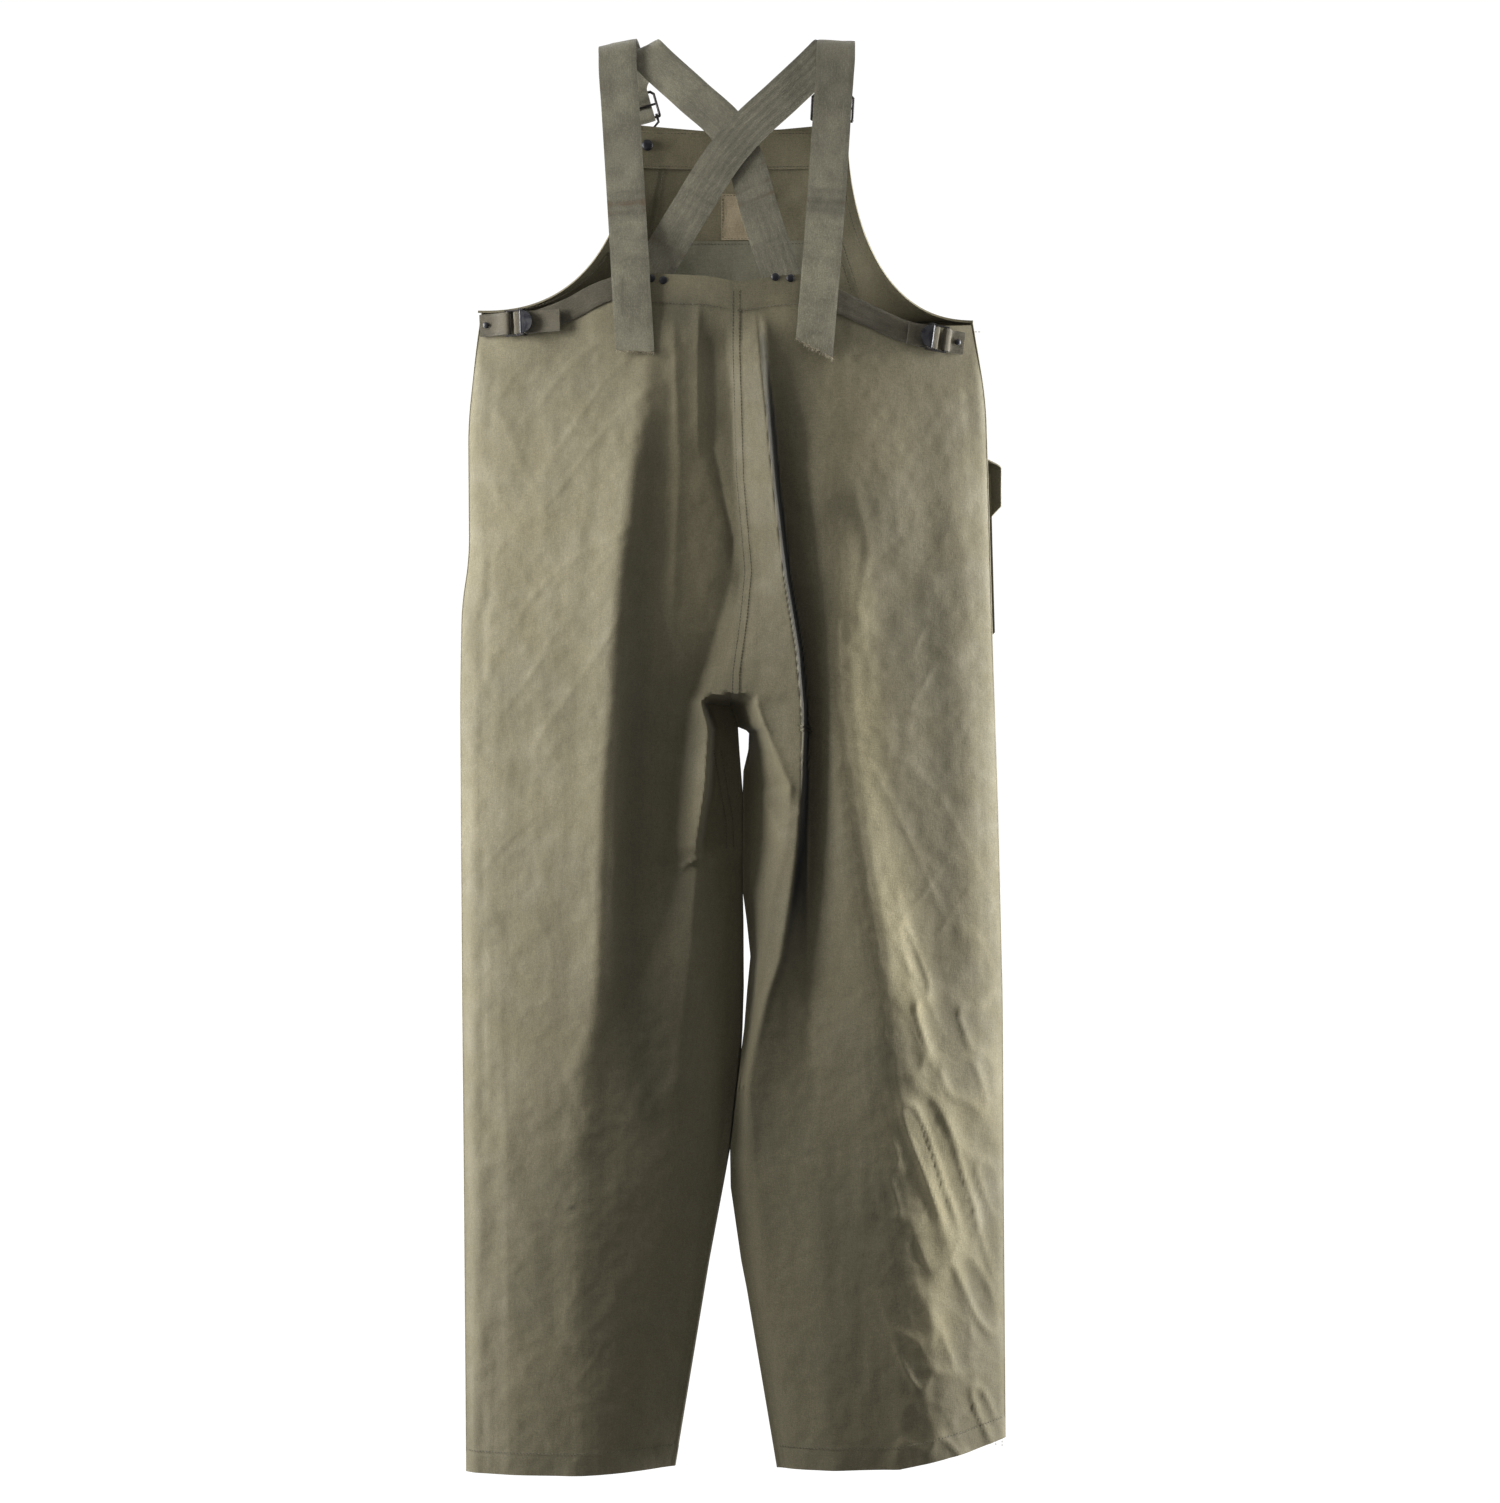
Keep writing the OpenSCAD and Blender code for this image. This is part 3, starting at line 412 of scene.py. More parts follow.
def metal_material(name, paint, bare, rough, metallic):
    """Blackened steel: worn to bare metal in small scuffs."""
    m = Nodes(name)
    scuff = m.noise(m.place(), 700, 5, 0.7)
    grime = m.noise(m.place(), 160, 3)
    bare_share = m.remap(scuff, 0.6, 0.74)
    m.join(m.mix(bare_share, m.mix(m.remap(grime, 0.3, 0.7), paint, [c * 0.6 for c in paint[:3]] + [1]), bare),
           m.shader.inputs["Base Color"])
    m.join(m.remap(grime, 0.3, 0.7, rough - 0.1, rough + 0.14), m.shader.inputs["Roughness"])
    m.shader.inputs["Metallic"].default_value = metallic
    m.join(m.bump(scuff, 0.18, 0.0003), m.shader.inputs["Normal"])
    return m.material


OLIVE = cloth_material("olive_cloth", (0.122, 0.1075, 0.064, 1), (0.107, 0.0955, 0.058, 1), (0.148, 0.130, 0.081, 1))
GREYER = cloth_material("lining_cloth", (0.135, 0.129, 0.088, 1), (0.12, 0.115, 0.078, 1), (0.158, 0.15, 0.106, 1))
TAN = cloth_material("label_cloth", (0.25, 0.205, 0.13, 1), (0.21, 0.17, 0.105, 1), (0.30, 0.25, 0.165, 1))
WEB = webbing_material("suspender_webbing", (0.144, 0.135, 0.094, 1), (0.110, 0.103, 0.071, 1),
                       (0.196, 0.183, 0.132, 1))
BROWN_WEB = webbing_material("waist_webbing", (0.074, 0.064, 0.041, 1), (0.055, 0.048, 0.030, 1),
                             (0.100, 0.088, 0.058, 1))
BLACK = metal_material("black_metal", (0.012, 0.012, 0.016, 1), (0.08, 0.08, 0.09, 1), 0.36, 0.4)
STEEL = metal_material("dark_steel", (0.045, 0.042, 0.042, 1), (0.2, 0.19, 0.18, 1), 0.38, 0.85)
THREAD = cloth_material("thread", (0.060, 0.053, 0.031, 1), (0.05, 0.044, 0.027, 1), (0.08, 0.071, 0.043, 1))
PALE_THREAD = cloth_material("pale_thread", (0.42, 0.38, 0.28, 1), (0.34, 0.3, 0.22, 1), (0.5, 0.46, 0.36, 1))


# ---- folds --------------------------------------------------------------------

class Fold:
    """A fold that runs down the cloth along (height, x) places. It stands proud by its height on the line, and
    falls away over its left and right widths. A minus height is a valley. A plus tone is painted light on it,
    a minus tone painted shade."""

    def __init__(self, path, left, right, height, tone=0.0, crest=0.004, fade=(0.05, 0.08)):
        self.path, self.left, self.right = path, left, right
        self.height, self.tone, self.crest, self.fade = height, tone, crest, fade

    def at(self, x, z):
        d = x - table(self.path, z)
        w = np.where(d < 0, self.left, self.right)
        lift = np.exp(-(np.sqrt(d * d + self.crest**2) - self.crest) / w)
        top, low = max(p[0] for p in self.path), min(p[0] for p in self.path)
        return lift * ease((top + self.fade[0] - z) / self.fade[0]) * ease((z - low + self.fade[1]) / self.fade[1])


# The back's fold lines in millimetres. Each level is a height and, for every line from left to right, its x and how
# far behind the side seams the cloth lies there. The cloth runs straight between the lines. They are: left strip
# crest and dip, band crest and dip, left crest and its foot, middle valley, inner flap crest and foot, left inseam,
# right inseam, inner crease, right ridge, deep valley, right leg's crest, streak's dip and right crest.
BACK_LINES = {
    -250: [(-238, 7), (-215, 13), (-150, 31), (-118, 36), (-84, 41), (-60, 42), (-20, 42), (-14, 42), (-10, 42),
           (-5, 43), (-4, 43), (5, 44), (18, 46), (26, 42), (95, 38), (150, 26), (205, 11)],
    -310: [(-240, 9), (-218, 16), (-138, 42), (-114, 45), (-87, 50), (-62, 46), (-15, 41), (-10, 41), (-7, 42),
           (-4, 43), (-4, 43), (6, 48), (24, 55), (30, 44), (97, 43), (150, 32), (208, 17)],
    -370: [(-242, 14), (-220, 20), (-150, 47), (-124, 49), (-93, 61), (-66, 50), (-10, 41), (-6, 41), (-3, 41),
           (0, 43), (0, 43), (12, 52), (30, 64), (36, 41), (100, 50), (155, 38), (215, 19)],
    -450: [(-245, 13), (-222, 21), (-168, 46), (-142, 49), (-104, 67), (-78, 50), (-8, 42), (-4, 42), (-1, 42),
           (1, 43), (1, 43), (16, 54), (38, 70), (43, 42), (93, 57), (158, 44), (222, 20)],
    -530: [(-240, 20), (-215, 23), (-178, 45), (-158, 46), (-114, 68), (-88, 50), (-5, 39), (0, 39), (3, 39),
           (7, 41), (7, 41), (25, 52), (48, 70), (52, 43), (92, 57), (160, 38), (226, 18)],
    -600: [(-248, 22), (-226, 24), (-180, 43), (-162, 46), (-119, 69), (-92, 49), (-25, 34), (-12, 40), (-6, 43),
           (-1, 45), (-1, 45), (25, 55), (60, 68), (64, 40), (94, 57), (165, 38), (228, 19)],
    -645: [(-249, 24), (-228, 26), (-185, 45), (-165, 48), (-121, 69), (-94, 49), (-41, 31), (-32, 41), (-15, 46),
           (-6, 47), (-6, 47), (21, 52), (64, 66), (68, 38), (97, 58), (168, 39), (230, 19)],
    -654: [(-249, 24), (-228, 27), (-187, 46), (-166, 49), (-121, 69), (-95, 49), (-46, 33), (-34, 48), (-30, 16),
           (-5, 0), (-5, 0), (20, 49), (65, 65), (69, 38), (98, 58), (168, 39), (230, 19)],
    -680: [(-250, 24), (-228, 27), (-188, 46), (-167, 50), (-123, 69), (-97, 49), (-50, 34), (-27, 51), (-21, 14),
           (1, 0), (13, 0), (28, 50), (66, 64), (70, 38), (100, 59), (170, 40), (232, 19)],
    -737: [(-252, 23), (-231, 26), (-190, 46), (-168, 50), (-128, 68), (-103, 48), (-61, 33), (-30, 51), (-24, 15),
           (5, 0), (7, 0), (53, 56), (65, 60), (69, 37), (107, 60), (174, 40), (236, 18)],
    -795: [(-255, 21), (-233, 25), (-193, 45), (-169, 51), (-129, 68), (-106, 49), (-64, 33), (-39, 49), (-33, 18),
           (5, 0), (6, 0), (48, 50), (60, 56), (70, 36), (115, 61), (182, 39), (238, 19)],
    -815: [(-256, 20), (-234, 24), (-194, 45), (-169, 51), (-130, 68), (-107, 49), (-67, 31), (-39, 40), (-31, 32),
           (5, 0), (6, 0), (42, 46), (57, 54), (70, 35), (118, 61), (185, 38), (238, 19)],
    -857: [(-257, 19), (-236, 24), (-196, 44), (-170, 50), (-132, 67), (-111, 50), (-79, 37), (-42, 42), (-33, 33),
           (5, 0), (6, 0), (32, 38), (51, 50), (71, 33), (125, 60), (193, 35), (240, 18)],
    -908: [(-258, 18), (-237, 23), (-198, 43), (-170, 50), (-132, 65), (-117, 54), (-101, 45), (-45, 43), (-33, 33),
           (5, 0), (8, 0), (24, 30), (42, 44), (72, 31), (133, 58), (203, 32), (241, 18)],
    -945: [(-258, 18), (-238, 23), (-200, 42), (-171, 49), (-135, 61), (-124, 54), (-110, 49), (-50, 42), (-35, 32),
           (5, 0), (9, 0), (18, 24), (29, 38), (72, 28), (143, 57), (201, 35), (243, 17)],
    -1035: [(-259, 17), (-240, 23), (-202, 40), (-176, 46), (-150, 54), (-130, 49), (-100, 45), (-60, 39), (-40, 30),
            (-4, 0), (-1, 0), (2, 12), (6, 27), (72, 30), (149, 54), (232, 22), (254, 12)],
    -1110: [(-259, 17), (-240, 23), (-205, 38), (-180, 44), (-153, 49), (-130, 46), (-100, 43), (-65, 35), (-45, 26),
            (-10, 0), (-6, 0), (0, 12), (8, 22), (73, 33), (163, 50), (214, 31), (250, 12)],
    -1200: [(-258, 17), (-240, 23), (-205, 37), (-180, 42), (-153, 46), (-130, 44), (-105, 40), (-75, 31), (-55, 21),
            (-27, 0), (5, 0), (14, 13), (24, 22), (78, 35), (176, 47), (216, 30), (252, 11)],
    -1300: [(-257, 16), (-238, 22), (-205, 35), (-180, 40), (-153, 43), (-130, 40), (-108, 34), (-85, 25), (-68, 15),
            (-42, 0), (22, 0), (31, 12), (42, 21), (86, 36), (182, 44), (222, 28), (252, 11)],
    -1425: [(-257, 15), (-238, 21), (-205, 33), (-180, 37), (-153, 40), (-130, 37), (-112, 30), (-95, 21), (-80, 12),
            (-60, 0), (40, 0), (49, 11), (60, 19), (98, 34), (200, 39), (230, 25), (252, 10)],
}
# folds on the front; their tones are painted light on the crests and painted shade in the valleys
FRONT_FOLDS = [
    Fold([(-0.3, -0.10), (-0.6, -0.135), (-0.9, -0.15), (-1.2, -0.155)], 0.06, 0.03, 0.009, 0.06, 0.012, (0.06, 0.3)),
    Fold([(-0.33, -0.045), (-0.62, -0.075), (-0.85, -0.10)], 0.022, 0.030, -0.006, -0.10, 0.010, (0.06, 0.2)),
    Fold([(-0.36, -0.20), (-0.7, -0.215), (-1.3, -0.215)], 0.020, 0.03, 0.003, 0.03, 0.010, (0.08, 0.2)),
    Fold([(-0.3, 0.075), (-0.6, 0.095), (-0.9, 0.115), (-1.2, 0.125)], 0.03, 0.05, 0.009, 0.06, 0.012, (0.05, 0.2)),
    Fold([(-0.33, 0.035), (-0.62, 0.055), (-0.85, 0.07)], 0.028, 0.020, -0.006, -0.10, 0.010, (0.06, 0.2)),
    Fold([(-0.66, 0.190), (-0.95, 0.200), (-1.35, 0.195)], 0.035, 0.018, 0.003, 0.03, 0.010, (0.08, 0.2)),
    Fold([(-0.54, -0.06), (-0.60, -0.02), (-0.635, 0.01)], 0.010, 0.010, 0.003, 0.03, 0.004, (0.03, 0.03)),
    Fold([(-0.56, 0.07), (-0.61, 0.035), (-0.64, 0.015)], 0.010, 0.010, 0.003, 0.03, 0.004, (0.03, 0.03)),
]
# places where hardware lies on the cloth, so it stays as the CAD model has it: x, z, radius
HELD = {BACK: [(0.045, -0.233, 0.03), (-0.079, -0.234, 0.03), (-0.225, -0.275, 0.05), (0.205, -0.29, 0.05)],
        FRONT: [(0.2, -0.5, 0.10)]}
SMALL_FOLDS = [
    # pleats under the back's waistband, and creases beside the crotch and on the right shin; their tones are painted
    # light on crests and painted shade in valleys
    Fold([(-0.262, -0.038), (-0.366, -0.038)], 0.012, 0.005, 0.0035, 0.04, 0.001, (0.01, 0.06)),
    Fold([(-0.312, -0.027), (-0.399, -0.025), (-0.49, -0.004)], 0.007, 0.008, -0.0035, -0.08, 0.001, (0.03, 0.05)),
    Fold([(-0.30, -0.062), (-0.42, -0.057), (-0.52, -0.062)], 0.012, 0.008, 0.003, 0.0, 0.002, (0.04, 0.08)),
    Fold([(-0.753, 0.028), (-0.786, 0.042)], 0.008, 0.003, 0.0028, 0.14, 0.001, (0.02, 0.02)),
    Fold([(-0.656, 0.019), (-0.696, 0.034), (-0.736, 0.052)], 0.012, 0.004, 0.0045, 0.20, 0.001, (0.012, 0.02)),
    Fold([(-0.815, -0.052), (-0.806, -0.034), (-0.802, -0.024)], 0.006, 0.003, 0.004, 0.0, 0.001, (0.006, 0.006)),
    Fold([(-0.883, 0.161), (-1.05, 0.203), (-1.175, 0.236)], 0.010, 0.014, 0.002, 0.06, 0.002, (0.05, 0.05)),
    Fold([(-1.02, 0.158), (-1.1, 0.18), (-1.19, 0.205)], 0.006, 0.012, 0.0012, 0.06, 0.001, (0.03, 0.04)),
    Fold([(-1.11, 0.19), (-1.2, 0.212), (-1.27, 0.232)], 0.006, 0.010, 0.0016, 0.05, 0.001, (0.03, 0.04)),
    Fold([(-0.45, 0.118), (-0.5, 0.13), (-0.56, 0.12)], 0.01, 0.014, 0.002, 0.04, 0.002, (0.03, 0.04)),
]


# painted light and shade on the back's cloth, and one small dark stain: (height, x) places, width, tone
PAINTED_LIGHT_SHADE_AND_STAIN = [
    ([(-0.32, 0.030), (-0.37, 0.034), (-0.45, 0.042), (-0.53, 0.052), (-0.60, 0.064), (-0.68, 0.070), (-0.74, 0.069),
      (-0.80, 0.064), (-0.857, 0.055), (-0.908, 0.047), (-0.945, 0.034), (-1.035, 0.012)], 0.0045, -0.30),
    ([(-0.34, 0.036), (-0.40, 0.050), (-0.50, 0.057), (-0.60, 0.073), (-0.70, 0.080), (-0.80, 0.076), (-0.857, 0.066),
      (-0.908, 0.056), (-0.945, 0.044), (-1.035, 0.024), (-1.12, 0.02)], 0.012, -0.16),
    ([(-0.36, -0.080), (-0.60, -0.100), (-0.80, -0.104), (-0.90, -0.108), (-1.0, -0.098), (-1.10, -0.08)],
     0.016, -0.24),
    ([(-0.60, -0.075), (-0.80, -0.085), (-0.95, -0.09), (-1.1, -0.07)], 0.03, -0.12),
    ([(-0.28, -0.04), (-0.45, -0.045), (-0.62, -0.045)], 0.042, 0.38),
    ([(-0.645, -0.008), (-0.70, -0.009), (-0.76, -0.010), (-0.82, -0.014), (-0.86, -0.016)], 0.013, -0.10),
    ([(-0.655, -0.031), (-0.70, -0.031), (-0.75, -0.038), (-0.80, -0.046)], 0.009, 0.30),
    ([(-0.46, 0.105), (-0.56, 0.115), (-0.65, 0.122), (-0.75, 0.130), (-0.817, 0.150), (-0.90, 0.163), (-0.944, 0.171),
      (-1.0, 0.185), (-1.05, 0.195), (-1.10, 0.205), (-1.25, 0.215)], 0.024, 0.50),
    ([(-0.26, 0.11), (-0.34, 0.115), (-0.46, 0.12)], 0.045, 0.28),
    ([(-0.50, 0.195), (-0.70, 0.206), (-0.95, 0.212)], 0.014, -0.12),
    ([(-0.29, -0.15), (-0.45, -0.16), (-0.62, -0.17), (-0.8, -0.17)], 0.045, 0.05),
    ([(-1.149, -0.163), (-1.157, -0.163)], 0.0035, -0.5),
    ([(-0.235, -0.055), (-0.300, -0.055)], 0.020, -0.40),
    ([(-0.235, 0.040), (-0.300, 0.044)], 0.018, 0.45),
    ([(-0.50, 0.112), (-0.60, 0.122), (-0.70, 0.126), (-0.80, 0.145), (-0.90, 0.163), (-1.00, 0.180)], 0.019, 0.50),
    ([(-1.02, 0.160), (-1.12, 0.182), (-1.24, 0.196), (-1.32, 0.200)], 0.022, 0.50),
]


def lens_depth(face, x, z, left):
    """Depth of the CAD model's own plain surface."""
    out = np.where(left, out_edge(LEFT, z), out_edge(RIGHT, z))
    seam = np.where(left, in_edge(LEFT, z), in_edge(RIGHT, z))
    t = np.clip((x - out) / (seam - out), 0, 1)
    split = table(SPLIT, z)
    w = np.minimum(1, np.abs(1 - t * (1 + split)))
    near_seam = lerp(1, ease((1 - t) / 0.1), split) * ease(t / 0.1)
    return table(DEPTH[face], z) * (1 - w**LENS), near_seam


def line_depth(x, z, left):
    """Depth of the folded back at a place: straight between the fold lines, and rounded along them."""
    levels = sorted(BACK_LINES)
    places = np.array([[p[0] for p in BACK_LINES[k]] for k in levels]) / 1000
    depths = np.array([[p[1] for p in BACK_LINES[k]] for k in levels]) / 1000
    heights = np.array(levels) / 1000
    inseam = places.shape[1] - 7  # the first line of the right leg
    crest, band, dip = places[:, 4], slice(2, 4), places[:, 1]
    straight = lerp(depths[:, 1:2], depths[:, 4:5], (places[:, band] - dip[:, None]) / (crest - dip)[:, None])
    depths[:, band] = lerp(straight, depths[:, band], 0.4)  # the left band is a soft one
    lines = [(out_edge(LEFT, z), 0 * z), (out_edge(LEFT, z) + 0.007, 0 * z + 0.0065)]
    for k in range(places.shape[1]):
        at = np.interp(z, heights, places[:, k])
        if k == inseam - 1:
            at = in_edge(LEFT, z)
        if k == inseam:
            at = in_edge(RIGHT, z) + 1e-5
        lines.append((at, np.interp(z, heights, depths[:, k])))
    lines += [(out_edge(RIGHT, z) - 0.007, 0 * z + 0.0065), (out_edge(RIGHT, z), 0 * z)]
    split = z < -0.652
    total = 0
    crest, valley = np.interp(z, heights, places[:, 4]), np.interp(z, heights, places[:, 13])
    round_off = 0.0016 + 0.0045 * ease((-0.92 - z) / 0.2) + 0.0035 * ease((-0.06 - x) / 0.02)
    round_off += 0.010 * np.where(x < 0, ease((crest - 0.010 - x) / 0.05), ease((x - valley - 0.010) / 0.04))
    round_off = np.minimum(round_off, np.minimum(np.abs(x - lines[0][0]), np.abs(x - lines[-1][0])) / 1.5)
    for shift, share in ((-1.5, 0.15), (-0.7, 0.22), (0, 0.26), (0.7, 0.22), (1.5, 0.15)):
        xs = x + shift * round_off
        # each leg is rounded on its own, so nothing is taken from across the gap between them
        xs = np.where(split & left, np.minimum(xs, 2 * lines[inseam + 1][0] - xs), xs)
        xs = np.where(split & ~left, np.maximum(xs, 2 * lines[inseam + 2][0] - xs), xs)
        depth = lines[0][1]
        for (x0, d0), (x1, d1) in zip(lines, lines[1:]):
            depth = depth + (d1 - d0) * np.clip((xs - x0) / np.maximum(x1 - x0, 1e-5), 0, 1)
        total = total + share * depth
    return np.where(split & (np.abs(x - np.where(left, lines[inseam + 1][0], lines[inseam + 2][0])) < 1e-6), 0, total)


def small_relief(face, x, z):
    """Crumples and small folds on top of the cloth's main shape, and their tone: painted light on their crests
    and painted shade in their valleys, and a random tone.
    """
    lift, tone = np.zeros_like(x), np.zeros_like(x)
    for f in SMALL_FOLDS if face == BACK else FRONT_FOLDS:
        share = f.at(x, z)
        lift += f.height * share
        tone += f.tone * share
    seed = 10 if face == BACK else 40
    warp = z + 0.4 * x
    lift += 0.0013 * waves(x, warp * 0.35, 0.05, seed) + 0.0007 * waves(x, z * 0.6, 0.022, seed + 1)
    lift += 0.00035 * waves(x, z, 0.009, seed + 3)
    for k, (cell, slope) in enumerate(((0.06, 0.5), (0.045, -0.7))):
        sharp = 1 - np.abs(waves(x + z * slope, z * 0.7 - x * 0.2, cell, seed + 5 + k))
        rough = ease(waves(x, z, 0.11, seed + 8 + k) + 0.35)
        lift += 0.0006 * rough * (sharp**9 - 0.1)
        tone += 0.04 * rough * sharp**14
    tone += 0.04 * waves(x, z * 0.5, 0.06, seed + 4)
    if face == BACK:  # the right shin is the most crumpled, with painted light on its crumples' crests and painted shade between them
        shin = ease((x - 0.13) / 0.05) * ease((-0.8 - z) / 0.2)
        sharp = 1 - np.abs(waves(x * 1.2 + z * 0.45, z * 0.4, 0.022, 33))
        lift += 0.0024 * shin * (sharp**4 - 0.3)
        tone += 0.16 * shin * (sharp**4 - 0.2)
        flank = ease((-0.235 - x) / 0.02) * ease((-0.45 - z) / 0.1)
        lift += 0.0012 * flank * waves(x, z * 0.5, 0.012, 34)
    return lift, tone


def cloth_y(face, x, z, side=None):
    """Depth of a panel's outer face at a place, and its tone."""
    x, z = np.broadcast_arrays(np.asarray(x, float), np.asarray(z, float))
    left = (x < (in_edge(LEFT, z) + in_edge(RIGHT, z)) / 2) if side is None else np.full(x.shape, side == LEFT)
    plain, near_seam = lens_depth(face, x, z, left)
    lift, tone = small_relief(face, x, z)
    held = np.ones_like(x)
    for hx, hz, r in HELD[face]:
        held = held * ease((np.hypot(x - hx, z - hz) - 0.5 * r) / (0.7 * r))
    top = ease((-0.25 - z) / 0.05)
    folded = line_depth(x, z, left) if face == BACK else plain
    depth = lerp(plain, folded, held * top) + lift * near_seam * held * (0.2 + 0.8 * top)
    if face == BACK:
        # painted light and shade, and one small stain, from the table
        for path, width, shade in PAINTED_LIGHT_SHADE_AND_STAIN:
            fade = min(0.06, (path[0][0] - path[-1][0]) / 2)
            ends = ease((path[0][0] - z) / fade) * ease((z - path[-1][0]) / fade)
            tone = tone + shade * ends * np.exp(-((x - table(path, z)) / width) ** 2)
    return face * depth, tone


# ---- the body's panels ---------------------------------------------------------------

def panel_grid(side, face, rows=360, cols=124):
    """Points of a panel's outer face, and their tone."""
    r, s = shares(rows, cols)
    t = 0.6 * s + 0.4 * (1 - (1 - s) ** 2)  # columns lie closer near the inseam
    x_top = lerp(table(OUT_EDGE[side], WAIST_Z), in_edge(side, WAIST_Z), t)
    z_top = back_top(x_top) if face == BACK else WAIST_Z + WAIST_TILT * x_top
    x_hem = lerp(table(OUT_EDGE[side], -1.4), in_edge(side, -1.4), t)
    z = lerp(z_top, hem_z(side, x_hem), r)
    x = lerp(out_edge(side, z), in_edge(side, z), t)
    y, tone = cloth_y(face, x, z, side)
    return np.stack([x, y, z], -1), tone


def make_panel(side, face):
    """A leg-and-seat panel with its hem, felled seams and, at the back, the waistband."""
    name = f"{FACE_NAME[face]}_{NAME[side]}_panel"
    outer, tone = panel_grid(side, face)
    n = outward(outer, (0, face, 0))
    x, z = outer[..., 0], outer[..., 2]
    hem = ease((hem_z(side, x) + HEM_H - z) / 0.002)
    from_seam = np.abs(x - in_edge(side, z))
    if face == FRONT:
        from_seam = np.minimum(from_seam, np.abs(x - out_edge(side, z)))
    felled = ease((0.010 - from_seam) / 0.0025) * (1 if face == FRONT or side == RIGHT else 0)
    felled = felled * (1 if face == FRONT else ease((z - CENTER_SEAM_END) / 0.004))
    middle = ease((x + 0.135) / 0.02) * ease((0.115 - x) / 0.02)
    band = middle * ease((z - back_top(x) + WAISTBAND_H) / 0.002) if face == BACK else 0 * z
    at_edge = ease(np.abs(x - out_edge(side, z)) / 0.003)
    outer = outer + n * (SEAM_LIFT * at_edge * np.maximum(np.maximum(hem, felled), band))[..., None]
    if face == BACK:  # painted shade on the steep side of the ridge beside the centre seam
        steep = np.gradient(outer[..., 1], axis=1) / np.gradient(x, axis=1)
        ridge = ease((0.10 - x) / 0.01) * ease(x / 0.01) * ease((-0.27 - z) / 0.03)
        tone = tone - 0.62 * ease((steep - 0.15) / 1.0) * ridge
    pucker = waves(x, z, 0.006, 60 + side)
    tone = tone - 0.07 * felled * (0.6 + 0.4 * pucker) - 0.06 * hem - 0.05 * band
    # thin painted shade along the waistband's stitch row, the seam edges and the hem's stitch row
    row = middle * np.exp(-((z - back_top(x) + WAISTBAND_H) / 0.0018) ** 2) if face == BACK else 0
    tone = tone - 0.10 * np.exp(-((from_seam - 0.001) / 0.0018) ** 2) * ease((z - CENTER_SEAM_END) / 0.004)
    tone = tone - 0.12 * row - 0.12 * np.exp(-((z - hem_z(side, x) - HEM_H) / 0.0018) ** 2)
    obj = sheet(name + "_cloth", outer, outer - n * CLOTH_TH, OLIVE, "overalls", tone=tone)
    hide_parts(name)


for side in (LEFT, RIGHT):
    for face in (BACK, FRONT):
        make_panel(side, face)


LINE_STEP = 0.0035  # between the points of a line of stitches


def cloth_line(face, side, x_at, z_from, z_to, lift=0.0009):
    """A line down a panel's outer face; x_at gives its x at each height."""
    z = np.linspace(z_from, z_to, max(8, int(abs(z_from - z_to) / LINE_STEP)))
    x = x_at(z)
    return np.stack([x, cloth_y(face, x, z, side)[0] + face * lift, z], -1)


def cross_line(face, side, z_at, x_from, x_to, lift=0.0009):
    """A line across a panel's outer face; z_at gives its height at each x."""
    x = np.linspace(x_from, x_to, max(8, int(abs(x_from - x_to) / LINE_STEP)))
    z = z_at(x)
    return np.stack([x, cloth_y(face, x, z, side)[0] + face * lift, z], -1)


def panel_stitches(face):
    """Rows of stitches along the seams, the hems and the waist of the back or the front."""
    rows = []
    for side in (LEFT, RIGHT):
        if face == FRONT:
            for inset in (0.0035, 0.0095):  # felled side seam and inseam
                rows.append(cloth_line(face, side, lambda z: out_edge(side, z) - side * inset, -0.30, -1.40))
                rows.append(cloth_line(face, side, lambda z: in_edge(side, z) + side * inset, -0.668, -1.40))
        x_out, x_in = table(OUT_EDGE[side], -1.39) - side * 0.003, in_edge(side, -1.39) + side * 0.003
        rows.append(cross_line(face, side, lambda x: hem_z(side, x) + HEM_H, x_out, x_in, 0.0014))
        if face == FRONT:
            rows.append(cross_line(face, side, lambda x: WAIST_Z - 0.01 + WAIST_TILT * x, side * 0.25 - 0.006,
                                   CENTER_X))
            continue
        rows.append(cross_line(face, side, lambda x: back_top(x) - WAISTBAND_H, side * 0.108 - 0.01,
                               CENTER_X + side * 0.002))
        if side == LEFT:  # the inseam's two rows show inside the fold below the crotch
            inseam = [(-0.70, -0.012), (-0.77, 0.0), (-0.81, 0.001)]
            for inset in (0.004, 0.011):
                rows.append(cloth_line(face, side, lambda z: table(inseam, z) - inset, -0.70, -0.80))
    seam_top = -0.245 if face == BACK else -0.275
    for offset in (0.0010, 0.0075):  # felled centre seam
        rows.append(cloth_line(face, RIGHT, lambda z: in_edge(RIGHT, z) + offset, seam_top, -0.645))
    return rows


for face in (BACK, FRONT):
    stitches(f"{FACE_NAME[face]}_panel_stitches", panel_stitches(face), THREAD, "overalls")


# ---- bib ---------------------------------------------------------------------------

BIB_TOP_Z = -0.075
BIB_TOP_X = {LEFT: -0.104, RIGHT: 0.111}
BIB_SIDE_X = {LEFT: -0.259, RIGHT: 0.236}
BIB_CURVE = 1.15
# x of the pocket's seams that show inside the bib, by height
BIB_SEAMS = [[(-0.119, -0.077), (-0.17, -0.087), (-0.232, -0.101)],
             [(-0.119, 0.0765), (-0.165, 0.0935), (-0.243, 0.1195)]]


def bib_edge_x(side, v):
    return lerp(BIB_SIDE_X[side], BIB_TOP_X[side], np.sin(math.pi / 2 * v))


def bib_rise(v):
    """Share of the bib's height at a place along its side."""
    return (1 - np.cos(math.pi / 2 * v)) ** BIB_CURVE


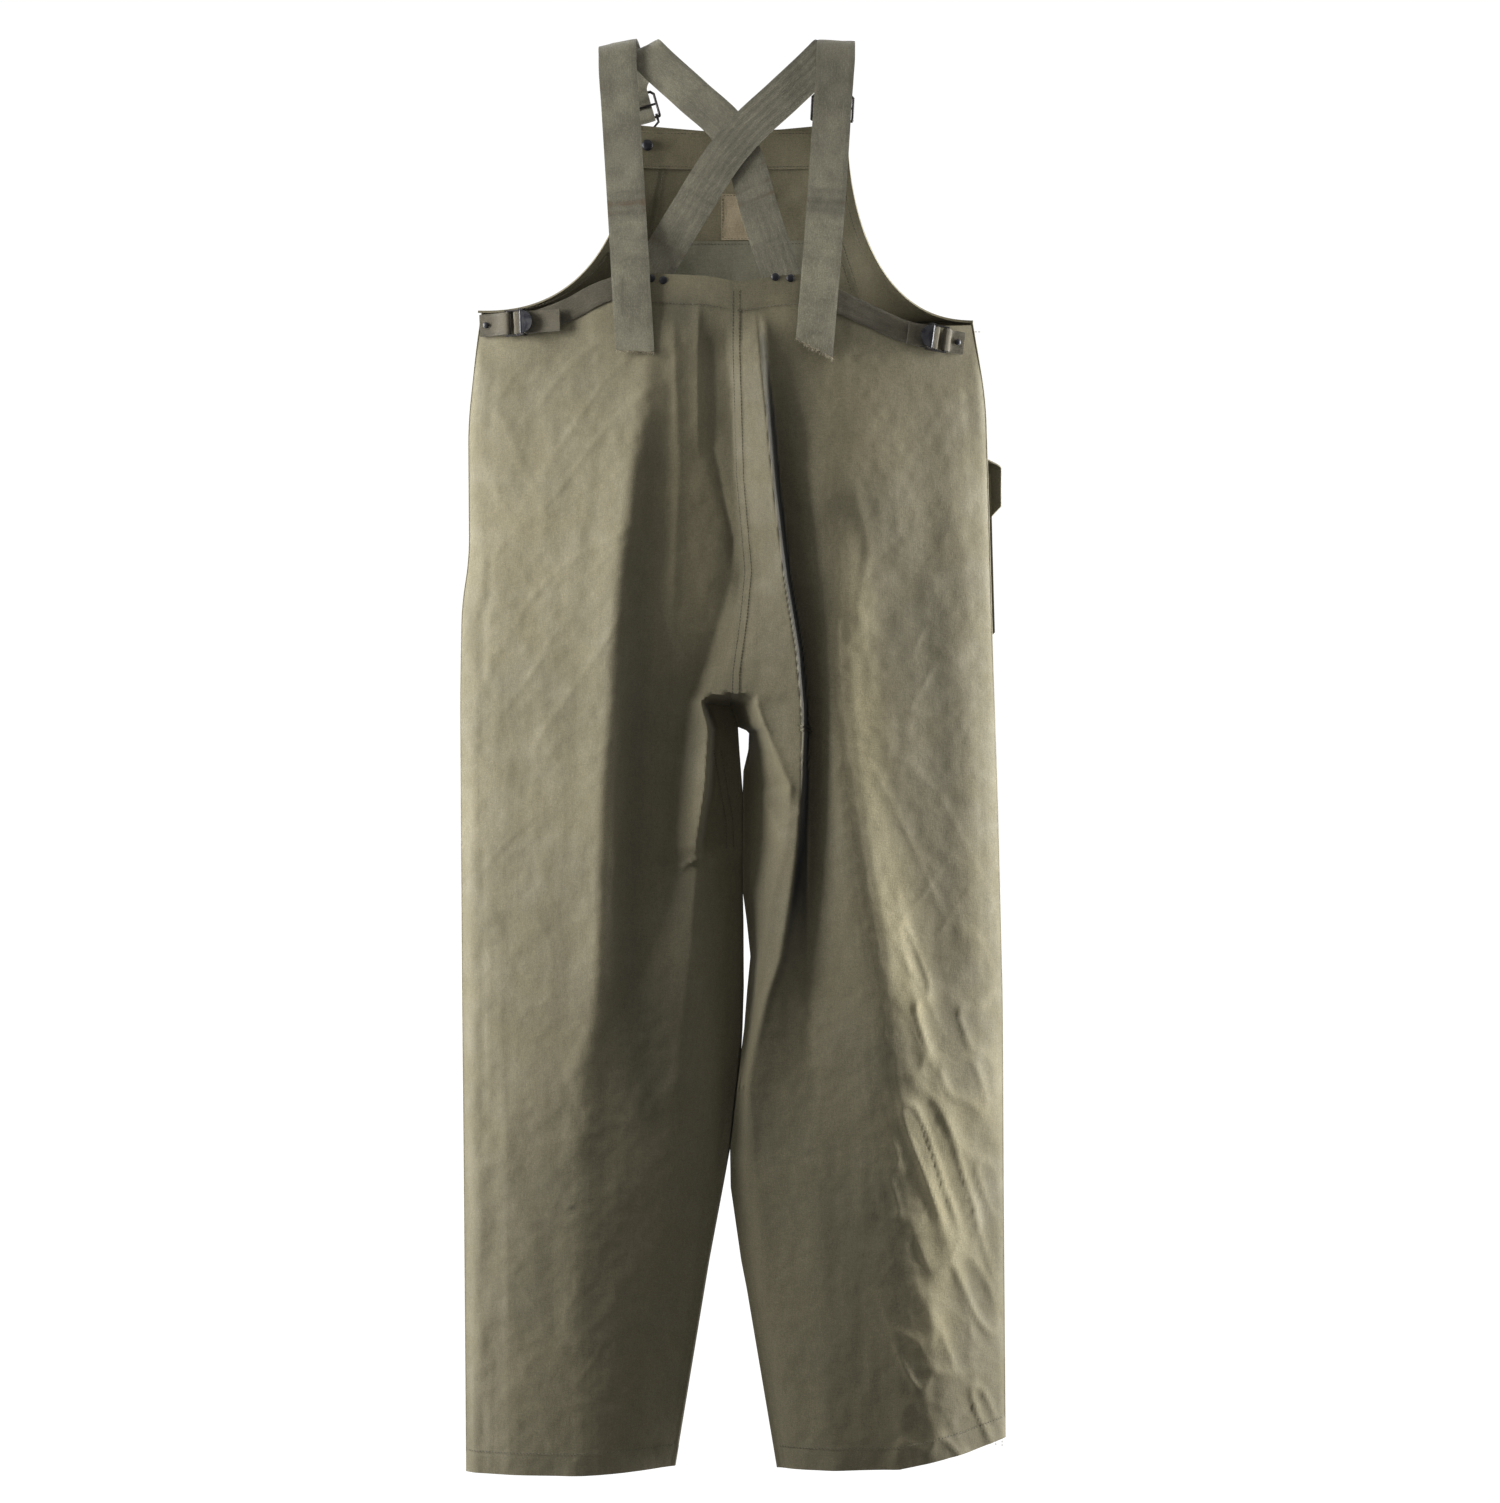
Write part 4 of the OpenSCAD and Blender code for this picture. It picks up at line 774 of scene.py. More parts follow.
def bib_y(u, v):
    rise = bib_rise(v)
    edge = 0.017 * rise
    mid = lerp(0.046, 0.024, rise)
    return lerp(edge, mid, 1 - np.abs(u) ** LENS)


def bib_relief(x, z):
    """Soft bends of the bib's cloth."""
    soft = ease((-0.10 - z) / 0.06) * ease((z + 0.262) / 0.05)
    bend = 0.0018 * waves(x, z * 0.7, 0.05, 70) + 0.0008 * waves(x, z, 0.018, 71)
    return soft * bend


def bib_face(x, z):
    """Depth of the bib's middle surface at a place."""
    rise = np.clip((z - WAIST_Z) / (BIB_TOP_Z - WAIST_Z), 1e-6, 1)
    v = np.arccos(1 - rise ** (1 / BIB_CURVE)) / (math.pi / 2)
    edge = np.where(x < CENTER_X, bib_edge_x(LEFT, v), bib_edge_x(RIGHT, v))
    u = np.clip((x - CENTER_X) / np.abs(edge - CENTER_X), -1, 1)
    return bib_y(u, v) - 0.0008 + bib_relief(x, z)


def make_bib():
    u = np.linspace(-1, 1, 150)[None, :]
    v = np.linspace(0, 1, 110)[:, None]
    edge = np.where(u < 0, bib_edge_x(LEFT, v), bib_edge_x(RIGHT, v))
    x = lerp(CENTER_X, edge, np.abs(u))
    top = BIB_TOP_Z + table([(-0.108, 0.003), (-0.025, -0.003), (0.043, -0.001), (0.08, 0.002), (0.111, -0.001)], x)
    z = lerp(WAIST_Z + WAIST_TILT * x, top, bib_rise(v))
    y = bib_y(u, v) - 0.0008 + bib_relief(x, z)
    mid = np.stack([x, y, z], -1)
    n = outward(mid, (0, 1, 0))
    edge_gap = np.minimum(1, (1 - np.abs(u)) * np.abs(edge - CENTER_X) / 0.009)
    half = CLOTH_TH / 2 + 0.0006 * (1 - ease((edge_gap - 0.8) / 0.2))
    # painted light on the inner side of the bib's right wing, over a random tone
    tone = 0.05 * waves(x, z, 0.05, 72) + 0.4 * ease((x - 0.10) / 0.04) * ease((-0.15 - z) / 0.06)
    for seam in BIB_SEAMS:
        tone = tone - 0.30 * np.exp(-((x - table(seam, z)) / 0.0022) ** 2) * (z < -0.115)
    bib = sheet("bib_cloth", mid - n * half[..., None], mid + n * half[..., None], OLIVE, "overalls",
                tone=tone)
    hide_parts("bib_panel")


PATCH_TH, EDGE_ROLL = 0.0009, 0.0005


def bib_patch(name, node, top_x, low_x, top, low, lift, material):
    """A piece sewn on the bib; lift is its middle's distance from the bib's, minus inside."""
    k, s = shares(60, 90)
    z = lerp(top, low, k) + 0 * s
    x = lerp(lerp(top_x[0], low_x[0], k), lerp(top_x[1], low_x[1], k), s)
    y = bib_face(x, z) + lift + 0.0003 * waves(x, z, 0.014, 80)
    rim = np.minimum(np.minimum(s, 1 - s) * (low_x[1] - low_x[0]), np.minimum(k, 1 - k) * (top - low)) / 0.006
    y += math.copysign(EDGE_ROLL, lift) * np.clip(1 - rim, 0, 1)
    mid = np.stack([x, y, z], -1)
    step = np.array([0, PATCH_TH / 2, 0])
    obj = sheet(name, mid - step, mid + step, material, "overalls", tone=0.04 * waves(x, z, 0.03, 81))
    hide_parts(node)


make_bib()
IN_LIFT, OUT_LIFT = -0.0022, 0.0028
bib_patch("bib_facing_cloth", "bib_top_facing", (-0.101, 0.104), (-0.108, 0.112), -0.078, -0.116, IN_LIFT, OLIVE)
bib_patch("bib_pocket_cloth", "bib_pocket", (-0.074, 0.073), (-0.118, 0.118), -0.116, -0.246, OUT_LIFT, OLIVE)
bib_patch("bib_lining_cloth", "bib_lining", (-0.088, 0.084), (-0.098, 0.092), -0.187, -0.248, IN_LIFT, GREYER)
bib_patch("label_cloth_blank", "blank_label", (-0.016, 0.033), (-0.016, 0.033), -0.140, -0.186, IN_LIFT, TAN)


def bib_line(points, gap):
    """A line on the bib's inner side through (x, z) places."""
    p = np.array(points, float)
    run = np.concatenate([[0], np.cumsum(np.hypot(*np.diff(p, axis=0).T))])
    s = np.linspace(0, run[-1], max(8, int(run[-1] / LINE_STEP)))
    x, z = np.interp(s, run, p[:, 0]), np.interp(s, run, p[:, 1])
    return np.stack([x, bib_face(x, z) - gap, z], -1)


ON_BIB, ON_PATCH = 0.0011, 0.0030  # from the bib's middle to stitches on it, and on a piece sewn to it
BIB_ROWS = [
    (ON_PATCH, [(-0.103, -0.1135), (0.107, -0.1135)]), (ON_PATCH, [(-0.098, -0.0805), (0.104, -0.0805)]),
    (ON_BIB, [(-0.074, -0.119), (-0.084, -0.17), (-0.098, -0.232)]),
    (ON_BIB, [(-0.080, -0.119), (-0.090, -0.17), (-0.104, -0.232)]),
    (ON_BIB, [(0.073, -0.119), (0.090, -0.165), (0.116, -0.243)]),
    (ON_BIB, [(0.080, -0.119), (0.097, -0.165), (0.123, -0.243)]),
    (ON_PATCH, [(-0.087, -0.190), (0.083, -0.190)]),
    (ON_PATCH, [(-0.0145, -0.1415), (0.0315, -0.1415), (0.0315, -0.1845), (-0.0145, -0.1845), (-0.0145, -0.1415)]),
]
bib_rows = [bib_line(points, gap) for gap, points in BIB_ROWS]
for side in (LEFT, RIGHT):
    v = np.linspace(0.12, 0.97, 90)
    x = bib_edge_x(side, v) - side * 0.0085
    z = lerp(WAIST_Z + WAIST_TILT * x, BIB_TOP_Z, bib_rise(v))
    bib_rows.append(np.stack([x, bib_face(x, z) - 0.0013, z], -1))
stitches("bib_stitches", bib_rows, THREAD, "overalls")


# ---- webbing ----------------------------------------------------------------------

def smooth_path(points, step=0.0025):
    """Rows along a smooth curve through the given rows, about a step apart, that never overshoots them."""
    p = np.asarray(points, float)
    h = np.linalg.norm(np.diff(p[:, :3], axis=0), axis=1)[:, None]
    d = np.diff(p, axis=0) / h
    near, far = 2 * h[1:] + h[:-1], h[1:] + 2 * h[:-1]
    turn = d[:-1] * d[1:] <= 0
    safe = np.where(turn, 1, d[:-1]), np.where(turn, 1, d[1:])
    mid = np.where(turn, 0, (near + far) / (near / safe[0] + far / safe[1]))
    m = np.concatenate([d[:1], mid, d[-1:]])
    rows = [p[:1]]
    for i in range(len(h)):
        s = np.linspace(0, 1, max(2, int(np.ceil(h[i, 0] / step)) + 1))[1:, None]
        rows.append((2 * s**3 - 3 * s**2 + 1) * p[i] + (s**3 - 2 * s**2 + s) * h[i] * m[i]
                    + (3 * s**2 - 2 * s**3) * p[i + 1] + (s**3 - s**2) * h[i] * m[i + 1])
    return np.concatenate(rows)


def wide(degrees):
    """A direction in the XZ plane, at an angle from +X."""
    a = math.radians(degrees)
    return np.array([math.cos(a), 0, math.sin(a)])


def ring(x, y, z, angle):
    """A place on a webbing's middle line, with the angle of its width."""
    return np.concatenate([[x, y, z], wide(angle)])


def ribbon_grids(rings, width, th, slant=0.0, ripple=0.0005, seed=90, columns=14, over_cloth=0.0):
    """Outer and inner grids, flat UVs and tone of webbing through rings of (centre, width direction)."""
    rows = smooth_path(rings)
    centre, across = rows[:, :3], rows[:, 3:]
    tangent = unit(np.gradient(centre, axis=0))
    normal = unit(np.cross(across, tangent))
    run = run_along(centre)
    s = np.linspace(-1, 1, columns)[None, :, None]
    last = (slant * ease((run - run[-1] + 0.045) / 0.045))[:, None, None] * s
    mid = centre[:, None] + across[:, None] * s * width / 2 + tangent[:, None] * last
    u, v = s[..., 0] * width / 2 + 0 * run[:, None], run[:, None] + last[..., 0]
    lift = ripple * (waves(u, v, 0.03, seed) + 0.5 * waves(u, v, 0.011, seed + 1))
    mid = mid + normal[:, None] * lift[..., None]
    if over_cloth:
        clear = -cloth_y(BACK, mid[..., 0], mid[..., 2])[0] + over_cloth
        gap = -mid[..., 1] - clear
        share = ease((-0.235 - mid[..., 2]) / 0.03)
        mid[..., 1] -= share * 0.5 * (np.sqrt(gap**2 + 0.0015**2) - gap)
    half = th / 2 * (1 - 0.45 * np.abs(s) ** 10)
    tone = 0.10 * waves(u * 0.3, v, 0.022, seed + 2) + 0.06 * waves(u, v, 0.008, seed + 3)
    tone -= 0.10 * np.abs(s[..., 0]) ** 8 + 0.10 * np.exp(-((np.abs(s[..., 0]) - 0.82) / 0.05) ** 2)
    return mid + normal[:, None] * half, mid - normal[:, None] * half, np.stack([u, v], -1), tone, run[-1]


def ribbon(name, rings, width, th, material, slot, body="overalls", **shape):
    stains = shape.pop("stains", ())
    outer, inner, uv, tone, length = ribbon_grids(rings, width, th, **shape)
    along = uv[..., 1]
    for place, spread, depth in stains:
        uneven = 0.7 + 0.3 * waves(uv[..., 0], along, 0.006, 97)
        tone = tone + depth * np.exp(-((along - place) / spread) ** 2) * uneven
    obj = sheet(name, outer, inner, material, body, uv=uv, tone=tone)
    return obj, length, outer, inner


BUTTONS = {LEFT: (-0.090, -0.093), RIGHT: (0.094, -0.093)}
CLASP_Y = 0.0284
CLASP_TILT = {LEFT: 16, RIGHT: -3}
BAR_R = 0.008
FOLD_IN = BAR_R + 0.001
FOLD_OUT = FOLD_IN + 0.0035
GATHER = 0.8  # the webbing's width in the slider, as a share of its full width
# the strap's way through the slider: depth and height in the clasp's own frame
WEAVE = ([(-0.0032, 0.056), (-0.0028, 0.052), (0.0002, 0.047), (0.0028, 0.0425), (0.0028, 0.0385), (0, 0.034)]
         + [(0.0028 * math.cos(a), 0.027 + 0.0028 * math.sin(a)) for a in np.radians(range(180, 361, 36))]
         + [(0.004, 0.033), (0.0058, 0.038), (0.0058, 0.043), (0.0048, 0.050), (0.004, 0.056)])
BACK_RUN = {
    LEFT: [(0.0525, -0.0346, -0.252, 20), (0.043, -0.0346, -0.226, 20), (0.024, -0.031, -0.170, 21),
           (0.008, -0.028, -0.115, 27), (-0.008, -0.025, -0.084, 38), (-0.045, -0.018, -0.048, 43)],
    RIGHT: [(-0.100, -0.031, -0.252, -31), (-0.084, -0.0322, -0.226, -31), (-0.050, -0.0336, -0.170, -31),
            (-0.014, -0.0325, -0.113, -33), (0.008, -0.030, -0.086, -40), (0.045, -0.020, -0.050, -43)],
}
TAIL = {
    LEFT: [(-0.119, -0.013, -0.012, 3.4), (-0.116, -0.020, -0.060, 3.4), (-0.110, -0.036, -0.150, 4),
           (-0.106, -0.0445, -0.215, 4), (-0.104, -0.0475, -0.250, 4), (-0.102, -0.049, -0.280, 4),
           (-0.1005, -0.0505, -0.306, 4)],
    RIGHT: [(0.098, -0.013, -0.010, -4), (0.095, -0.020, -0.060, -4), (0.089, -0.036, -0.150, -4.5),
            (0.084, -0.044, -0.215, -5), (0.081, -0.047, -0.250, -5), (0.0785, -0.049, -0.280, -5),
            (0.0765, -0.0505, -0.303, -5)],
}
# first and second pass over the bar: start, width angle, slope
PASS_IN = {LEFT: ((-0.089, -FOLD_IN, -0.006), 41.5, 24), RIGHT: ((0.089, -FOLD_IN, -0.006), -41.5, -24)}
PASS_OUT = {LEFT: ((-0.119, -FOLD_OUT, -0.006), 3.4, 11), RIGHT: ((0.098, -FOLD_OUT, -0.004), -4, -2)}
FRONT_RUN = {LEFT: (ring(-0.101, 0.017, -0.023, 13), ring(-0.110, 0.0245, -0.025, 13)),
             RIGHT: (ring(0.096, 0.017, -0.023, -6), ring(0.098, 0.0245, -0.025, -3))}


def bar_fold(start, w_angle, slope, r, steps=12):
    """Half a turn over the bar, from its back to its front."""
    f, w = wide(slope), wide(w_angle)
    up, d = wide(slope + 90), wide(w_angle + 90)
    creep = (d @ f) / (d @ up)
    depth = np.array([0, 1, 0])
    rings = []
    for a in np.linspace(0, math.pi, steps + 1):
        centre = np.array(start) + depth * r + f * creep * r * a + r * (-math.cos(a) * depth + math.sin(a) * up)
        rings.append(np.concatenate([centre, (w @ f) * f + (w @ up) * (math.cos(a) * up + math.sin(a) * depth)]))
    return rings


def clasp_ring(side, depth, height):
    """A place in a clasp's own frame, above its button."""
    a = math.radians(CLASP_TILT[side])
    x, z = BUTTONS[side]
    across = GATHER * wide(CLASP_TILT[side])
    return np.concatenate([[x - height * math.sin(a), CLASP_Y + depth, z + height * math.cos(a)], across])


def fibres(name, line, down, spread, body, count=26, length=0.006, seed=5):
    """Loose cut threads at the end of a webbing."""
    rng = np.random.default_rng(seed)
    points, faces = [], []
    for _ in range(count):
        t = rng.uniform(0, 1)
        root = lerp(line[0], line[1], t)
        way = unit(np.array(down) + rng.normal(0, spread, 3))
        reach = length * rng.uniform(0.3, 1)
        curl = rng.normal(0, 0.0012, 3)
        side = unit(np.cross(way, (0.2, 1, 0.1)))
        other = np.cross(way, side)
        start = len(points)
        for k in range(4):
            share = k / 3
            centre = root + way * reach * share + curl * share**2
            r = 0.00028 * (1 - 0.6 * share)
            points += [centre + side * r, centre - side * r * 0.5 + other * r * 0.87,
                       centre - side * r * 0.5 - other * r * 0.87]
        for k in range(3):
            for c in range(3):
                a, b = start + 3 * k + c, start + 3 * k + (c + 1) % 3
                faces.append((a, b, b + 3, a + 3))
        faces += [(start + 2, start + 1, start), (start + 9, start + 10, start + 11)]
    mesh = new_mesh(name, [p.tolist() for p in points], faces)
    mesh.materials.append(PALE_THREAD)
    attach(new_object(name, mesh), body)


# bands of stain or wear across a webbing: distance along it, spread, tone
TAIL_STAINS = [(0.055, 0.020, -0.08), (0.120, 0.012, -0.12), (0.164, 0.003, -0.30), (0.175, 0.004, -0.55),
               (0.184, 0.003, -0.40), (0.196, 0.004, 0.14), (0.232, 0.002, -0.20), (0.268, 0.012, -0.10)]
BACK_STAINS = [(0.06, 0.003, -0.22), (0.105, 0.0015, -0.30), (0.118, 0.0015, -0.30), (0.135, 0.002, -0.25)]


def make_suspender(side):
    """One length of webbing in three runs: up the back, down the front through the slider, and the free tail."""
    word = NAME[side]
    rise = bar_fold(*PASS_IN[side], FOLD_IN)
    fall = bar_fold(*PASS_OUT[side], FOLD_OUT)[::-1]
    top = len(rise) // 2
    runs = {
        "back": [ring(*p) for p in BACK_RUN[side]] + rise[: top + 1],
        "front": rise[top:] + [FRONT_RUN[side][0]] + [clasp_ring(side, *p) for p in WEAVE] + [FRONT_RUN[side][1]]
        + fall[: top + 1],
        "tail": fall[top:] + [ring(*p) for p in TAIL[side]],
    }
    for part, rings in runs.items():
        name = f"{word}_strap_{part}_webbing"
        shape = {"seed": 90 + 7 * (side > 0) + 20 * len(part)}
        if part == "tail":
            shape.update(slant=0.0025 if side == LEFT else 0.008, ripple=0.0009, over_cloth=0.0016,
                         stains=TAIL_STAINS + [(0.26, 0.11, 0.22 if side == LEFT else 0.62)])
        elif part == "back":
            shape["stains"] = BACK_STAINS
        body = None if part == "front" else "overalls"
        obj, length, outer, inner = ribbon(name, rings, STRAP_W, STRAP_TH, WEB, "suspender_webbing", body, **shape)
        if part == "front":
            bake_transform(obj)
        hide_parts(f"{word}_strap")
        if part == "tail":
            ends = (outer[-1, 0] + inner[-1, 0]) / 2, (outer[-1, -1] + inner[-1, -1]) / 2
            stitches(f"{word}_strap_end_stitches", cross_rows(outer, (len(outer) - 2,)), PALE_THREAD, "overalls",
                     pitch=0.0021, length=0.0017, r=0.0006)
            fibres(f"{word}_strap_frayed_end", ends, (0, -0.15, -1), 0.5, "overalls", 150,
                   0.004 if side == RIGHT else 0.003, 5 + side)


for side in (LEFT, RIGHT):
    make_suspender(side)


# ---- waist webbing and buckle tabs --------------------------------------------------

BUCKLES = {LEFT: (-0.2115, -0.275), RIGHT: (0.1905, -0.2895)}
BUCKLE_TURN = {LEFT: -17.5, RIGHT: 18.5}
BUCKLE_LEAN = {LEFT: -2, RIGHT: 8}
TAB_RIVET_X = {LEFT: -0.0395, RIGHT: -0.030}
WAIST_END_X = {LEFT: 0.0395, RIGHT: 0.024}
BUCKLE_GAP = 0.0012
END_BAR_X, MID_BAR_X, BAR_Y = -0.016, -0.006, -0.005
WRAP_R = 0.0015 + WAIST_TH / 2 + 0.00025
WAIST_RUN = {
    LEFT: [(-0.098, -0.238), (-0.120, -0.242), (-0.140, -0.249), (-0.165, -0.262), (-0.186, -0.270)],
    RIGHT: [(0.074, -0.246), (0.095, -0.254), (0.119, -0.264), (0.141, -0.274), (0.166, -0.284)],
}


def turned(side, p):
    """A direction from a hip buckle's own frame."""
    a, e = math.radians(BUCKLE_TURN[side]), math.radians(BUCKLE_LEAN[side])
    x = -side * p[0]
    lx = x * math.cos(e) + p[2] * math.sin(e)
    return np.array([lx * math.cos(a) - p[1] * math.sin(a), lx * math.sin(a) + p[1] * math.cos(a),
                     p[2] * math.cos(e) - x * math.sin(e)])


def from_buckle(side, x, y):
    """A place in a hip buckle's own frame, with the direction of the webbing's width."""
    bx, bz = BUCKLES[side]
    centre = np.array([bx, float(cloth_y(BACK, bx, bz)[0]) - BUCKLE_GAP, bz]) + turned(side, (x, y, 0))
    return np.concatenate([centre, turned(side, (0, 0, 1))])


def wrap(x, start, end):
    """Places round one of the buckle's bars, between two angles."""
    return [(x + WRAP_R * math.cos(a), BAR_Y + WRAP_R * math.sin(a)) for a in np.radians(np.linspace(start, end, 9))]


def make_waist(side):
    """The waist webbing up to its loop in the hip buckle, and the short tab that holds the buckle."""
    word = NAME[side]
    rings = []
    for i, (x, z) in enumerate(WAIST_RUN[side]):
        near = WAIST_RUN[side][max(i, 1) - 1], WAIST_RUN[side][max(i, 1)]
        a = math.degrees(math.atan2(near[1][1] - near[0][1], near[1][0] - near[0][0])) + (180 if side == LEFT else 0)
        rings.append(np.concatenate([[x, float(cloth_y(BACK, x, z)[0]) - 0.0026, z], wide(a + 90)]))
    plan = ([(0.006, -0.0013)] + wrap(MID_BAR_X, 90, 270)
            + [(0, -0.0076), (0.008, -0.0074), (0.016, -0.0064), (WAIST_END_X[side], -0.0054)])
    rings += [from_buckle(side, *p) for p in plan]
    obj, length, outer, _ = ribbon(f"{word}_waist_webbing", rings, WAIST_W, WAIST_TH, BROWN_WEB, "waist_webbing",
                                   seed=130 + side, ripple=0.0005)
    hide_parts(f"{word}_waist_strap")

    rx = TAB_RIVET_X[side]
    plan = ([(rx - 0.007, -0.0009), (rx + 0.008, -0.0009), (END_BAR_X - 0.003, -0.0018)] + wrap(END_BAR_X, 90, -90)
            + [(END_BAR_X - 0.004, -0.0068), (rx + 0.008, -0.0032), (rx - 0.007, -0.0029)])
    ends = [k for k in range(len(outer)) if 0 < k and (np.linalg.norm(outer[-1, 7] - outer[k, 7]) < 0.0075)]
    stitches(f"{word}_waist_end_stitches", cross_rows(outer, (ends[0], ends[len(ends) // 2])), THREAD, "overalls",
             pitch=0.0026, length=0.0019)
    rings = [from_buckle(side, *p) for p in plan]
    tab, length, _, _ = ribbon(f"{word}_tab_webbing", rings, WAIST_W, WAIST_TH, BROWN_WEB, "waist_webbing",
                               seed=140 + side, ripple=0.0003)
    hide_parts(f"{word}_buckle_tab")


for side in (LEFT, RIGHT):
    make_waist(side)


# ---- thigh pocket, its flap and the facing inside the back --------------------------------

POCKET_X, POCKET_Z, POCKET_W, POCKET_H = 0.253, -0.418, 0.118, 0.178
POCKET_IN_X = POCKET_X - 0.94 * POCKET_W
POCKET_GAP = 0.0016
POCKET_TURN = math.radians(160.574)
FLAP_LIFT, FLAP_TH = 0.00842, 0.0018
FLAP_H, FLAP_OUT, FLAP_IN, FLAP_CUT = 0.048, -0.009, 0.120, 0.010


def make_pocket():
    """The patch pocket on the front of the right thigh, with its lower corners cut off."""
    k, s = shares(90, 70)
    cut = 0.014 * np.clip((k * POCKET_H - POCKET_H + 0.014) / 0.014, 0, 1)
    z = POCKET_Z - lerp(0.006, POCKET_H, k) + 0 * s
    x = lerp(out_edge(RIGHT, z) + 0.0025 - cut, POCKET_IN_X + cut, s)
    y, tone = cloth_y(FRONT, x, z, RIGHT)
    rim = np.minimum(np.minimum(s, 1 - s) * 0.11, (1 - k) * POCKET_H) / 0.01
    puff = 0.002 * ease(rim) * (1 + waves(x, z, 0.05, 160))
    outer = np.stack([x, y + POCKET_GAP + 0.0012 + puff * ease((0.052 - np.hypot(x - 0.2, z + 0.45)) / -0.02), z], -1)
    n = outward(outer, (0, 1, 0))
    obj = sheet("thigh_pocket_cloth", outer, outer - n * CLOTH_TH, OLIVE, "overalls", tone=tone)
    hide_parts("thigh_pocket")


def from_pocket(x, y, z):
    """A place from the pocket's own frame: x inwards from the side seam, y out from the cloth, z up from the seam."""
    c, d = math.cos(POCKET_TURN), math.sin(POCKET_TURN)
    return np.stack([POCKET_X + x * c + y * d, x * d - y * c, POCKET_Z + z], -1)


def make_flap():
    """The pocket's flap, and the strip that bends between it and the trousers."""
    k, s = shares(40, 80)
    z = -FLAP_H * k + 0 * s
    cut = FLAP_CUT * np.clip((k * FLAP_H - FLAP_H + FLAP_CUT) / FLAP_CUT, 0, 1)
    x = lerp(FLAP_OUT + cut, FLAP_IN - cut, s)
    rim = np.minimum(np.minimum(s, 1 - s) * 0.129, (1 - k) * FLAP_H)
    bow = 0.0006 * waves(x, z, 0.03, 165) * ease((np.hypot(x - 0.054, z + 0.035) - 0.008) / 0.012)
    roll = 0.0004 * (1 - ease((rim - 0.002) / 0.004)) - 0.0003 * np.exp(-((rim - 0.006) / 0.0012) ** 2)
    outer = from_pocket(x, FLAP_LIFT + FLAP_TH + bow + roll, z)
    inner = from_pocket(x, FLAP_LIFT + bow - 0.3 * roll, z)
    # painted shade in the groove 6 mm inside the flap's edge, over a random tone
    tone = 0.05 * waves(x, z, 0.02, 166) - 0.06 * np.exp(-((rim - 0.006) / 0.0012) ** 2)
    obj = sheet("pocket_flap_cloth", outer, inner, OLIVE, "flap", tone=tone)
    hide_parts("pocket_flap")

    reach = np.linspace(0, 1, 12)[:, None]
    x = lerp(FLAP_OUT, FLAP_IN, s) + 0 * reach
    z = lerp(0.012, 0.0, reach) + 0 * s
    low = from_pocket(x, FLAP_LIFT + FLAP_TH / 2, 0.0 * z)
    wall_y, _ = cloth_y(FRONT, np.minimum(low[..., 0], 0.2475), POCKET_Z + z, RIGHT)
    sewn = np.stack([np.minimum(low[..., 0], 0.2475), wall_y + 0.0012, POCKET_Z + z], -1)
    mid = lerp(sewn, from_pocket(x, FLAP_LIFT + FLAP_TH / 2, z), ease(reach)[..., None])
    n = outward(mid, (0, 1, 0))
    strip = sheet("pocket_flap_seam_cloth", mid + n * 0.0009, mid - n * 0.0009, OLIVE, None)
    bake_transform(strip)


def make_back_facing():
    """The strip inside the back's top edge."""
    k, s = shares(16, 90)
    x = lerp(-0.104, 0.074, s) + 0 * k
    z = lerp(np.minimum(back_top(x), -0.229) - 0.0005, -0.264, k)
    y, _ = cloth_y(BACK, x, z)
    y = y + CLOTH_TH + 0.0008
    outer = np.stack([x, y, z], -1)
    obj = sheet("back_facing_cloth", outer, outer + np.array([0, 0.0009, 0]), GREYER, "overalls")
    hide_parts("back_waist_facing")


make_pocket()
make_flap()
make_back_facing()


# ---- camera, lights and stage -------------------------------------------------------

CAMERA_AWAY = 4.0
SENSOR_W = 36
VIEW_CENTER = (0.013, -0.7015)
VIEW_HEIGHT = 1.503

cam = new_object("camera", bpy.data.cameras.new("camera"))
cam.location = (VIEW_CENTER[0], -CAMERA_AWAY, VIEW_CENTER[1])
cam.rotation_euler = (math.pi / 2, 0, 0)
cam.data.sensor_width = SENSOR_W
cam.data.lens = SENSOR_W * CAMERA_AWAY / VIEW_HEIGHT
bpy.context.scene.camera = cam
bpy.context.scene.view_settings.view_transform = "Standard"

world = bpy.data.worlds.new("white_room")
world.use_nodes = True
world.node_tree.nodes["Background"].inputs[0].default_value = (1, 1, 1, 1)
world.node_tree.nodes["Background"].inputs[1].default_value = 1.03
bpy.context.scene.world = world


def area_light(name, place, size, power, aim=(0, 0, -0.7)):
    light = bpy.data.lights.new(name, "AREA")
    light.shape, light.size, light.size_y, light.energy = "RECTANGLE", *size, power
    obj = new_object(name, light)
    obj.location = place
    obj.rotation_euler = (Vector(aim) - Vector(place)).to_track_quat("-Z", "Y").to_euler()
    obj.visible_camera = False


